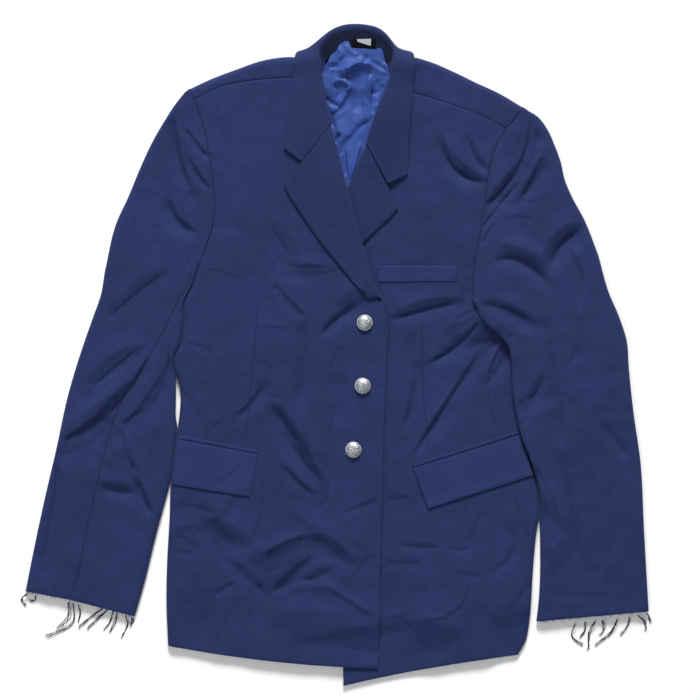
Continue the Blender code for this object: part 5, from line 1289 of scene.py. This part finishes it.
def threads_mesh(name, threads, roots, seed, finish):
    """Loose yarns of a cut sleeve: the long ones of the table, and short ones all along the cut."""
    draw = np.random.default_rng(seed)
    points, faces = [], []
    routes = []
    for thread in threads:
        ends = np.array(thread, float).reshape(3, 2)
        for strand in range(STRANDS):
            off = draw.normal(0, STRAND_SCATTER, (3, 2)) * STRAND_SPREAD
            routes.append((ends + off * (strand > 0), draw.uniform(*STRAND_RADII), STRAND_START))
    line = np.array(roots, float)
    run = run_lengths(line)
    for place in np.sort(draw.uniform(0, run[-1], FUZZ_THREADS)):
        root = np.array([np.interp(place, run, line[:, k]) for k in range(2)])
        length = draw.uniform(*FUZZ_LENGTHS)
        lean = draw.normal(0, FUZZ_LEAN)
        way = np.array([math.sin(lean), -math.cos(lean)])
        tip = root + way * length + draw.normal(0, FUZZ_TIP, 2)
        bend = (root + tip) / 2 + draw.normal(0, FUZZ_BEND, 2)
        routes.append((np.array([root - way, bend, tip]), FUZZ_RADIUS, FUZZ_START))
    for ends, radius, start_high in routes:
        length = np.linalg.norm(np.diff(ends, axis=0), axis=1).sum()
        count = max(6, round(length / STRAND_STEP))
        path = smooth_curve(ends, count)
        share = np.linspace(0, 1, count)
        wiggle = np.cumsum(draw.normal(0, STRAND_WIGGLE, (count, 2)), axis=0)
        path = path + (wiggle - share[:, None] * wiggle[-1]) * ease(share * 4)[:, None]
        hops = STRAND_HOP_HIGH * np.abs(np.sin(share * draw.uniform(*STRAND_HOPS)))
        high = radius + (start_high - radius) * (1 - ease(share * STRAND_FALL)) + hops
        add_tube(points, faces, np.column_stack([path, high]), radius * (1 - STRAND_THINS * share))
    mesh = bpy.data.meshes.new(name)
    mesh.from_pydata([tuple(MM * float(c) for c in point) for point in points], [], faces)
    mesh.shade_smooth()
    shape = bmesh.new()
    shape.from_mesh(mesh)
    bmesh.ops.recalc_face_normals(shape, faces=shape.faces[:])
    shape.to_mesh(mesh)
    shape.free()
    made = add_piece(name, mesh, finish)
    return made


def add_tube(points, faces, path, radii):
    """One three-sided strand along a path, closed at both ends."""
    way = unit(np.gradient(path, axis=0))
    side = unit(np.cross(way, [0, 0, 1.0]))
    over = np.cross(side, way)
    start = len(points)
    for spot, across, up, radius in zip(path, side, over, radii):
        for turn in STRAND_TURNS:
            points.append(spot + radius * (math.cos(turn) * across + math.sin(turn) * up))
    sides = len(STRAND_TURNS)
    for k in range(len(path) - 1):
        low, high = start + k * sides, start + (k + 1) * sides
        for j in range(sides):
            after = (j + 1) % sides
            faces.append([low + j, low + after, high + after, high + j])
    faces.append([start + j for j in reversed(range(sides))])
    faces.append([start + (len(path) - 1) * sides + j for j in range(sides)])


def in_edit_mode(piece):
    """Selects one object alone and opens its mesh with nothing selected in it."""
    bpy.ops.object.select_all(action="DESELECT")
    piece.select_set(True)
    bpy.context.view_layer.objects.active = piece
    bpy.ops.object.mode_set(mode="EDIT")
    bpy.ops.mesh.select_all(action="DESELECT")
    return bmesh.from_edit_mesh(piece.data)


def select_faces(piece, shape, test):
    for face in shape.faces:
        face.select_set(test(face))
    shape.select_flush_mode()
    bmesh.update_edit_mesh(piece.data)


def primitive(name, operator, **sizes):
    bpy.ops.object.select_all(action="DESELECT")
    operator(**sizes)
    piece = bpy.context.active_object
    piece.name = name
    return piece


def round_the_middle(out, turn, high):
    """A place on the button, from its distance from the middle, its turn and its height."""
    return out * math.cos(turn), out * math.sin(turn), high


def model_button(radius):
    """A domed blank with a turned rim, a rope ring and a rosette, its foot at the origin."""
    mesh_ops = bpy.ops.mesh
    foot, high = DOME_FOOT * MM, BUTTON_HIGH * MM
    dome = primitive("button_pattern", mesh_ops.primitive_uv_sphere_add, segments=64, ring_count=48,
                     radius=radius * DOME_RADIUS, location=(0, 0, 0))
    in_edit_mode(dome)
    mesh_ops.select_all(action="SELECT")
    mesh_ops.bisect(plane_co=(0, 0, radius * 0.02), plane_no=(0, 0, 1), clear_inner=True, use_fill=True)
    mesh_ops.select_all(action="SELECT")
    squash = (high - foot) / (radius * DOME_RADIUS)
    bpy.ops.transform.resize(value=(1, 1, squash), center_override=(0, 0, 0))
    bpy.ops.transform.translate(value=(0, 0, foot))
    bpy.ops.object.mode_set(mode="OBJECT")
    blank = primitive("button_blank", mesh_ops.primitive_cylinder_add, vertices=64, radius=radius,
                      depth=RIM_THICK * MM, location=(0, 0, RIM_MIDDLE * MM))
    shape = in_edit_mode(blank)
    select_faces(blank, shape, lambda face: abs(face.normal.z) > 0.9)
    mesh_ops.inset(thickness=radius * RIM_INSET)
    mesh_ops.select_all(action="SELECT")
    mesh_ops.remove_doubles(threshold=0.00001)
    bpy.ops.object.mode_set(mode="OBJECT")
    rounding = blank.modifiers.new("rounded", "BEVEL")
    rounding.width = RIM_ROUND * MM
    rounding.segments = 3
    bpy.ops.object.modifier_apply(modifier="rounded")
    rope = primitive("button_rope", mesh_ops.primitive_torus_add, major_radius=radius * ROPE_RADIUS,
                     minor_radius=ROPE_THICK * MM, major_segments=96, minor_segments=8,
                     location=(0, 0, ROPE_AT * MM))
    parts = [dome, blank, rope]
    for k in range(ROPE_TURNS):
        turn = 2 * math.pi * k / ROPE_TURNS
        parts.append(primitive(
            "button_bead", mesh_ops.primitive_ico_sphere_add, subdivisions=2, radius=BEAD_SIZE * MM,
            location=round_the_middle(radius * ROPE_RADIUS, turn, BEAD_AT * MM),
            rotation=(0, 0, turn + math.radians(40)), scale=(0.7, 1.35, 1),
        ))
    for count, reach, long, wide, start in PETALS:
        for k in range(count):
            turn = 2 * math.pi * k / count + math.radians(start)
            place = round_the_middle(reach * radius, turn, dome_height(radius, reach * radius))
            parts.append(primitive(
                "button_petal", mesh_ops.primitive_uv_sphere_add, segments=16, ring_count=10, radius=radius,
                location=place, rotation=(0, math.radians(PETAL_LEAN * reach), turn),
                scale=(long, wide, PETAL_HIGH),
            ))
    parts.append(primitive(
        "button_boss", mesh_ops.primitive_uv_sphere_add, segments=24, ring_count=12,
        radius=radius * BOSS_RADIUS, location=(0, 0, high - BOSS_SINK * MM), scale=(1, 1, 0.6),
    ))
    bpy.ops.object.select_all(action="DESELECT")
    for part in parts:
        part.select_set(True)
    bpy.context.view_layer.objects.active = dome
    bpy.ops.object.join()
    bpy.ops.object.transform_apply(location=True, rotation=True, scale=True)
    bpy.ops.object.shade_smooth_by_angle(angle=math.radians(40))
    return dome


def dome_height(radius, out):
    """Height of the dome's face at a distance from its middle."""
    share = min(0.999, out / (radius * DOME_RADIUS))
    return (DOME_FOOT + (BUTTON_HIGH - DOME_FOOT) * math.sqrt(1 - share**2)) * MM


def node(tree, kind, inputs=(), **settings):
    """A shader node with its settings, and its sockets linked or set."""
    made = tree.nodes.new("ShaderNode" + kind)
    for key, value in settings.items():
        setattr(made, key, value)
    for key, value in dict(inputs).items():
        if isinstance(value, bpy.types.NodeSocket):
            tree.links.new(value, made.inputs[key])
        else:
            made.inputs[key].default_value = value
    return made


def new_finish(name, **constants):
    """A material with its shader, whose even values are set on its own sockets."""
    finish = bpy.data.materials.new(name)
    finish.use_nodes = True
    shader = finish.node_tree.nodes["Principled BSDF"]
    for key, value in constants.items():
        shader.inputs[key.replace("_", " ")].default_value = value
    return finish, finish.node_tree, shader


def maths(tree, operation, first, second=0.0, third=0.0):
    return node(tree, "Math", {0: first, 1: second, 2: third}, operation=operation).outputs[0]


def vector_maths(tree, operation, first, second):
    return node(tree, "VectorMath", {0: first, 1: second}, operation=operation).outputs


def noise(tree, vector, scale, detail, **more):
    """An uneven pattern from 0 to 1."""
    inputs = {"Vector": vector, "Scale": scale, "Detail": detail}
    inputs.update({key.capitalize(): value for key, value in more.items()})
    return node(tree, "TexNoise", inputs).outputs["Fac"]


def object_space(tree):
    return node(tree, "TexCoord").outputs["Object"]


def cloth_space(tree):
    return node(tree, "UVMap", uv_map="cloth").outputs["UV"]


def blend(tree, share, first, second):
    return node(tree, "Mix", {0: share, 6: first, 7: second}, data_type="RGBA").outputs[2]


def bump(tree, height, strength, distance, **more):
    inputs = {"Height": height, "Strength": strength, "Distance": distance}
    inputs.update({key.capitalize(): value for key, value in more.items()})
    return node(tree, "Bump", inputs).outputs[0]


def fades_out(tree, value, start, stop):
    """1 up to start, easing to 0 at stop."""
    inputs = {"Value": value, "From Min": start, "From Max": stop, "To Min": 1.0, "To Max": 0.0}
    return node(tree, "MapRange", inputs, interpolation_type="SMOOTHSTEP").outputs[0]


def cover(tree, shader, colour, normal):
    tree.links.new(colour, shader.inputs["Base Color"])
    tree.links.new(normal, shader.inputs["Normal"])


def line_distance(tree, place, points):
    """How far a place is from a sewn line, in metres, over the table."""
    nearest = None
    for (ax, ay), (bx, by) in zip(points, points[1:]):
        start = (ax * MM, ay * MM, 0)
        run = ((bx - ax) * MM, (by - ay) * MM, 0)
        off = vector_maths(tree, "SUBTRACT", place, start)[0]
        along = vector_maths(tree, "DOT_PRODUCT", off, run)["Value"]
        length = run[0] ** 2 + run[1] ** 2
        share = node(tree, "Math", {0: along, 1: length}, operation="DIVIDE", use_clamp=True).outputs[0]
        on_line = node(tree, "VectorMath", {0: run, "Scale": share}, operation="SCALE").outputs[0]
        away = vector_maths(tree, "DISTANCE", off, on_line)["Value"]
        nearest = away if nearest is None else maths(tree, "MINIMUM", nearest, away)
    return nearest


def shade(colour, by):
    return (*[min(1.0, c * by) for c in colour[:3]], 1.0)


def wool(name, colour, lines=(), grain=0.0, stand_painted_shade=False):
    """Worsted wool: a fine twill with an uneven tone, a dull nap and the sewn lines of its darts, and where
    asked painted shade on the stand's inside.
    """
    finish, tree, shader = new_finish(
        name, Roughness=0.85, Sheen_Weight=0.10, Sheen_Roughness=0.45, Sheen_Tint=(0.55, 0.65, 1.0, 1.0),
        Specular_IOR_Level=0.12,
    )
    space, cloth = object_space(tree), cloth_space(tree)
    turn = (0, 0, math.radians(TWILL_ANGLE + grain))
    turned = node(tree, "Mapping", {"Vector": cloth, "Rotation": turn}).outputs[0]
    twill = node(tree, "TexWave", {
        "Vector": turned, "Scale": TWILL_SCALE, "Distortion": 0.6, "Detail": 1.0, "Detail Scale": 2.0,
    }).outputs["Fac"]
    tone = noise(tree, space, 11.0, 8.0, roughness=0.74)
    yarn = noise(tree, cloth, 620.0, 3.0)
    woven = maths(tree, "MULTIPLY_ADD", yarn, YARN_SHARE, maths(tree, "MULTIPLY", twill, TWILL_SHARE))
    mixed = maths(tree, "MULTIPLY_ADD", tone, TONE_SHARE, woven)
    level = node(tree, "Clamp", {"Value": maths(tree, "SUBTRACT", mixed, TONE_LEVEL)}).outputs[0]
    surface = blend(tree, level, shade(colour, WOOL_DARK), shade(colour, WOOL_LIGHT))
    high = maths(tree, "MULTIPLY_ADD", yarn, 0.6, twill)
    if lines:
        away = None
        flat = vector_maths(tree, "MULTIPLY", space, (1, 1, 0))[0]
        for points in lines:
            one = line_distance(tree, flat, points)
            away = one if away is None else maths(tree, "MINIMUM", away, one)
        seam = fades_out(tree, away, 0.00025, 0.0011)
        surface = blend(tree, maths(tree, "MULTIPLY", seam, SEAM_SHADE), surface, shade(colour, SEAM_TONE))
        high = maths(tree, "MULTIPLY_ADD", seam, -3.0, high)
    # painted shade: an ellipse on the stand's inside round the label is darkened, standing in for the
    # shadow under the collar's roll
    if stand_painted_shade:
        off = vector_maths(tree, "SUBTRACT", space, (STAND_SHADE_AT[0] * MM, STAND_SHADE_AT[1] * MM, 0))[0]
        spread = (1 / (STAND_SHADE_REACH[0] * MM), 1 / (STAND_SHADE_REACH[1] * MM), 0)
        share = vector_maths(tree, "MULTIPLY", off, spread)[0]
        inside = node(tree, "VectorMath", {0: share}, operation="LENGTH").outputs["Value"]
        surface = blend(tree, fades_out(tree, inside, 0.85, 1.05), surface, shade(colour, STAND_SHADE_TONE))
    cover(tree, shader, surface, bump(tree, high, 0.35, 0.00012))
    return finish


def satin(name, colour):
    """Lining satin: smooth, with a soft gloss and a faint warp."""
    finish, tree, shader = new_finish(name, Roughness=0.52, Specular_IOR_Level=0.22)
    space = object_space(tree)
    warp = node(tree, "Mapping", {"Vector": cloth_space(tree), "Scale": (1900, 160, 1)}).outputs[0]
    yarn = noise(tree, warp, 1.0, 2.0)
    tone = noise(tree, space, 30.0, 3.0)
    level = maths(tree, "MULTIPLY_ADD", tone, 0.7, maths(tree, "MULTIPLY", yarn, 0.3))
    soft = bump(tree, noise(tree, space, 110.0, 2.0, distortion=1.2), 0.5, 0.0008)
    fine = bump(tree, yarn, 0.2, 0.00005, normal=soft)
    cover(tree, shader, blend(tree, level, shade(colour, 0.72), shade(colour, 1.3)), fine)
    return finish


def plain_cloth(name, colour, scale, roughness):
    """Small woven trim."""
    finish, tree, shader = new_finish(name, Roughness=roughness, Specular_IOR_Level=0.1)
    weave = noise(tree, object_space(tree), scale, 2.0)
    surface = blend(tree, weave, shade(colour, 0.8), shade(colour, 1.15))
    cover(tree, shader, surface, bump(tree, weave, 0.4, 0.0001))
    return finish


def antique_silver(name, colour):
    """Worn silver plate: bright on what stands up, dark in the hollows round each button's motif."""
    finish, tree, shader = new_finish(name, Metallic=0.85, Specular_IOR_Level=0.5)
    space = object_space(tree)
    hollow = node(tree, "NewGeometry").outputs["Pointiness"]
    raised = node(tree, "MapRange", {"Value": hollow, "From Min": 0.44, "From Max": 0.56}).outputs[0]
    tarnish = noise(tree, space, 560.0, 6.0, roughness=0.65)
    clean = node(tree, "MapRange", {"Value": tarnish, "From Min": 0.40, "From Max": 0.54}).outputs[0]
    level = maths(tree, "MULTIPLY_ADD", clean, 0.75, maths(tree, "MULTIPLY", raised, 0.30))
    surface = blend(tree, level, shade(colour, 0.22), shade(colour, 1.30))
    cover(tree, shader, surface, bump(tree, tarnish, 0.5, 0.0004))
    rough = maths(tree, "MULTIPLY_ADD", noise(tree, space, 900.0, 4.0), 0.25, 0.40)
    tree.links.new(rough, shader.inputs["Roughness"])
    return finish


class TunicCloth(PropertyGroup):
    """Sizes and colours of the cloth."""

    fold_depth: FloatProperty(
        name="Fold depth", description="How deep the cloth's creases are, 1 being as worn", default=1.0,
        min=0.0, max=1.5,
    )
    wool: FloatVectorProperty(
        name="Wool", description="Colour of the navy shell cloth", default=(0.0164, 0.0267, 0.0930), size=3,
        subtype="COLOR", min=0.0, max=1.0,
    )
    lining: FloatVectorProperty(
        name="Lining", description="Colour of the satin lining", default=(0.0300, 0.0660, 0.2650), size=3,
        subtype="COLOR", min=0.0, max=1.0,
    )
    label: FloatVectorProperty(
        name="Label", description="Colour of the blank neck label", default=(0.34, 0.37, 0.41), size=3,
        subtype="COLOR", min=0.0, max=1.0,
    )


class TunicTrim(PropertyGroup):
    """Sizes and colours of the buttons and of the stage."""

    button_across: FloatProperty(
        name="Button", description="Diameter of a button", default=0.01905, min=0.015, max=0.024,
        unit="LENGTH",
    )
    button_metal: FloatVectorProperty(
        name="Button metal", description="Colour of the worn silver", default=(0.50, 0.52, 0.55), size=3,
        subtype="COLOR", min=0.0, max=1.0,
    )
    floor: FloatVectorProperty(
        name="Floor", description="Colour of the pale table", default=(0.96, 0.96, 0.96), size=3,
        subtype="COLOR", min=0.0, max=1.0,
    )
    key_power: FloatProperty(
        name="Key light", description="Power of the large soft light above the collar", default=520.0,
        unit="POWER",
    )


class TUNIC_OT_back(Operator):
    """Make the back, which comes over the shoulders to the shoulder seams"""

    bl_idname = "tunic.back"
    bl_label = "Back"

    def execute(self, context):
        outer, inner, there, _, _ = back_sections()
        finish = wool("back_wool", context.scene.tunic_cloth.wool)
        back = add_cloth("back_cloth", outer, inner, finish, there)
        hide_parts("back")
        return {"FINISHED"}


class TUNIC_OT_fronts(Operator):
    """Make the two fronts with their creases and darts"""

    bl_idname = "tunic.fronts"
    bl_label = "Fronts"

    def execute(self, context):
        colour = context.scene.tunic_cloth.wool
        for side, lines in (("right", RIGHT_FRONT_LINES), ("left", LEFT_FRONT_LINES)):
            outer, inner = front_sections(side == "right")
            finish = wool(f"{side}_front_wool", colour, lines)
            front = add_cloth(f"{side}_front_cloth", outer, inner, finish)
            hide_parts(f"{side}_front")
        return {"FINISHED"}


class TUNIC_OT_sleeves(Operator):
    """Make the four pieces of the two sleeves"""

    bl_idname = "tunic.sleeves"
    bl_label = "Sleeves"

    def execute(self, context):
        colour = context.scene.tunic_cloth.wool
        sleeves = (("right", right_sleeve_sections(), 14), ("left", left_sleeve_sections(), -14))
        for side, sections, grain in sleeves:
            finish = wool(f"{side}_sleeve_wool", colour, (), grain)
            for part, (outer, inner) in zip(("top", "under"), sections):
                piece = add_cloth(f"{side}_{part}_sleeve_cloth", outer, inner, finish)
                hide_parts(f"{side}_{part}_sleeve")
        return {"FINISHED"}


class TUNIC_OT_collar_and_lapels(Operator):
    """Make the collar and the two lapels"""

    bl_idname = "tunic.collar_and_lapels"
    bl_label = "Collar and lapels"

    def execute(self, context):
        # painted shade: the collar and lapels take a darker copy of the wool, and the stand's inside round
        # the label is darkened further
        colour = [c * FACING_SHADE_TONE for c in context.scene.tunic_cloth.wool]
        finish = wool("facing_wool_shaded", colour, (), 8, True)
        shapes = (
            ("right_lapel", lapel_sections(RIGHT_LAPEL, (0, 2, 3, 11), plain_right_top, garment_top)),
            ("left_lapel", lapel_sections(LEFT_LAPEL, (0, 2, 8), plain_left_front, left_front_top)),
            ("collar", collar_sections()),
        )
        for name, (outer, inner) in shapes:
            piece = add_cloth(name + "_cloth", outer, inner, finish)
            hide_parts(name)
        return {"FINISHED"}


class TUNIC_OT_pockets(Operator):
    """Make the jets and flaps of the lower pockets and the breast welt"""

    bl_idname = "tunic.pockets"
    bl_label = "Pockets"

    def execute(self, context):
        # painted light: the pocket pieces take a lighter copy of the wool
        finish = wool("pocket_wool_lightened", [c * POCKET_LIGHT_TONE for c in context.scene.tunic_cloth.wool], (), 6)
        surfaces = {
            "right": (right_front_plain, right_front_face), "left": (plain_left_front, left_front_top),
        }
        for name, side, corners, thick, gap, curl in (
            ("right_pocket_jet", "right", RIGHT_JET, JET_CLOTH, TRIM_GAP, 0.0),
            ("right_pocket_flap", "right", RIGHT_FLAP, FLAP_CLOTH, TRIM_GAP, 0.2),
            ("left_pocket_jet", "left", LEFT_JET, JET_CLOTH, TRIM_GAP, 0.0),
            ("left_pocket_flap", "left", LEFT_FLAP, FLAP_CLOTH, TRIM_GAP, 0.8),
            ("breast_welt", "left", BREAST_WELT, WELT_CLOTH, WELT_GAP, 0.0),
        ):
            outer, inner = quad_sections(corners, *surfaces[side], thick, gap, curl)
            piece = add_cloth(name + "_cloth", outer, inner, finish)
            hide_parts(name)
        return {"FINISHED"}


class TUNIC_OT_lining(Operator):
    """Make the satin lining that the open neck shows, and the blank label"""

    bl_idname = "tunic.lining"
    bl_label = "Lining and label"

    def execute(self, context):
        cloth = context.scene.tunic_cloth
        outer, inner = lining_sections()
        lining = add_cloth("back_lining_cloth", outer, inner, satin("lining_satin", cloth.lining))
        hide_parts("back_lining")
        label_lift = LABEL_GAP + LABEL_CLOTH + LABEL_ON_BACKING
        backing_weave = plain_cloth("label_backing_weave", (0.003, 0.003, 0.004), 900, 1.0)
        for name, corners, gap, finish in (
            ("neck_label_backing", LABEL, LABEL_GAP, backing_weave),
            ("neck_label_cloth", LABEL_FACE, label_lift, plain_cloth("label_weave", cloth.label, 700, 0.5)),
        ):
            outer, inner = quad_sections(
                corners, stand_top, stand_top, LABEL_CLOTH, gap - REST_CLEAR, spacing=LABEL_SPACING,
            )
            piece = add_cloth(name, outer, inner, finish)
            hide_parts("neck_label")
        return {"FINISHED"}


class TUNIC_OT_buttons(Operator):
    """Model one domed button with a rope rim and a plain rosette, and copy it down the front"""

    bl_idname = "tunic.buttons"
    bl_label = "Buttons"

    def execute(self, context):
        trim = context.scene.tunic_trim
        finish = antique_silver("button_silver", trim.button_metal)
        pattern = model_button(trim.button_across / 2)
        for number, ((x, y), degrees) in enumerate(zip(BUTTONS, BUTTON_TURNS), 1):
            low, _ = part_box(f"button_{number}")
            button = pattern.copy()
            button.data = pattern.data.copy()
            button.name = f"button_{number}_metal"
            context.collection.objects.link(button)
            turn = Matrix.Rotation(math.radians(degrees), 4, "Z")
            button.data.transform(Matrix.Translation((x * MM, y * MM, low.z)) @ turn)
            button.data.materials.append(finish)
            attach(button, "root")
            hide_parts(f"button_{number}")
        bpy.data.objects.remove(pattern, do_unlink=True)
        return {"FINISHED"}


class TUNIC_OT_threads(Operator):
    """Make the loose yarns of the cut sleeves"""

    bl_idname = "tunic.threads"
    bl_label = "Loose threads"

    def execute(self, context):
        # painted shade: the threads take a darker copy of the wool
        finish = plain_cloth("yarn", [c * YARN_SHADE_TONE for c in context.scene.tunic_cloth.wool], 1500, 0.9)
        right_cut = [RIGHT_SLEEVE_OUTER[-1], RIGHT_SLEEVE_SEAM[-1], RIGHT_SLEEVE_INNER[-1]]
        left_cut = [LEFT_SLEEVE_INNER[-1], LEFT_SLEEVE_OUTER[-1]]
        right = threads_mesh("right_cuff_threads", RIGHT_CUFF_THREADS, right_cut, 5, finish)
        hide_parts("right_cuff_fringe")
        left = threads_mesh("left_cuff_threads", LEFT_CUFF_THREADS, left_cut, 6, finish)
        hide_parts("left_cuff_fringe")
        return {"FINISHED"}


class TUNIC_OT_stage(Operator):
    """Set the pale table, the soft studio lights and the camera above it"""

    bl_idname = "tunic.stage"
    bl_label = "Stage"

    def execute(self, context):
        trim = context.scene.tunic_trim
        bpy.ops.object.select_all(action="DESELECT")
        bpy.ops.mesh.primitive_plane_add(size=8.0, location=(0, 0, -0.0005))
        floor = context.active_object
        floor.name = "table"
        finish, _, shader = new_finish("table_paper", Roughness=0.9, Specular_IOR_Level=0.1)
        shader.inputs["Base Color"].default_value = (*trim.floor, 1)
        floor.data.materials.append(finish)
        for name, place, size, power, colour in (
            ("key", (0.2, 5.2, 3.1), 2.0, trim.key_power, (1.0, 0.99, 0.97)),
            ("fill", (-1.2, -1.6, 2.6), 2.5, trim.key_power * FILL_SHARE, (0.95, 0.97, 1.0)),
        ):
            light = bpy.data.lights.new(name, "AREA")
            light.shape = "DISK"
            light.size = size
            light.energy = power
            light.color = colour
            lamp = bpy.data.objects.new(name, light)
            lamp.location = place
            lamp.rotation_euler = (-Vector(place)).to_track_quat("-Z", "Y").to_euler()
            context.collection.objects.link(lamp)
        context.scene.view_settings.view_transform = "Standard"
        world = bpy.data.worlds.new("studio")
        world.use_nodes = True
        sky = world.node_tree.nodes["Background"].inputs
        sky["Color"].default_value = (1.0, 1.0, 1.0, 1.0)
        sky["Strength"].default_value = WORLD_STRENGTH
        context.scene.world = world
        camera = bpy.data.cameras.new("above")
        camera.sensor_width = SENSOR
        camera.lens = SENSOR * (CAMERA_HIGH - CLOTH_LEVEL) / (PHOTO_PIXELS * PIXEL * MM)
        eye = bpy.data.objects.new("above", camera)
        middle = PHOTO_PIXELS / 2
        off = ((middle - ORIGIN_PIXEL[0]) * PIXEL * MM, (ORIGIN_PIXEL[1] - middle) * PIXEL * MM)
        eye.location = (*off, CAMERA_HIGH)
        context.collection.objects.link(eye)
        context.scene.camera = eye
        return {"FINISHED"}


OPERATORS = (
    TUNIC_OT_back, TUNIC_OT_fronts, TUNIC_OT_sleeves, TUNIC_OT_collar_and_lapels, TUNIC_OT_pockets,
    TUNIC_OT_lining, TUNIC_OT_buttons, TUNIC_OT_threads, TUNIC_OT_stage,
)


class TUNIC_PT_panel(Panel):
    """Lists the tunic's pieces"""

    bl_label = "Laid dress tunic"
    bl_space_type = "VIEW_3D"
    bl_region_type = "UI"
    bl_category = "Tunic"

    def draw(self, context):
        layout = self.layout
        for group, names in (
            (context.scene.tunic_cloth, ("fold_depth", "wool", "lining", "label")),
            (context.scene.tunic_trim, ("button_across", "button_metal", "floor", "key_power")),
        ):
            box = layout.box()
            for name in names:
                box.prop(group, name)
        for operator in OPERATORS:
            layout.operator(operator.bl_idname)


CLASSES = (TunicCloth, TunicTrim, *OPERATORS, TUNIC_PT_panel)


def register():
    for one in CLASSES:
        bpy.utils.register_class(one)
    bpy.types.Scene.tunic_cloth = PointerProperty(type=TunicCloth)
    bpy.types.Scene.tunic_trim = PointerProperty(type=TunicTrim)


def unregister():
    del bpy.types.Scene.tunic_trim
    del bpy.types.Scene.tunic_cloth
    for one in reversed(CLASSES):
        bpy.utils.unregister_class(one)


def main():
    register()
    for operator in OPERATORS:
        group, name = operator.bl_idname.split(".")
        getattr(getattr(bpy.ops, group), name)()
    bpy.context.view_layer.update()


if __name__ == "__main__":
    main()
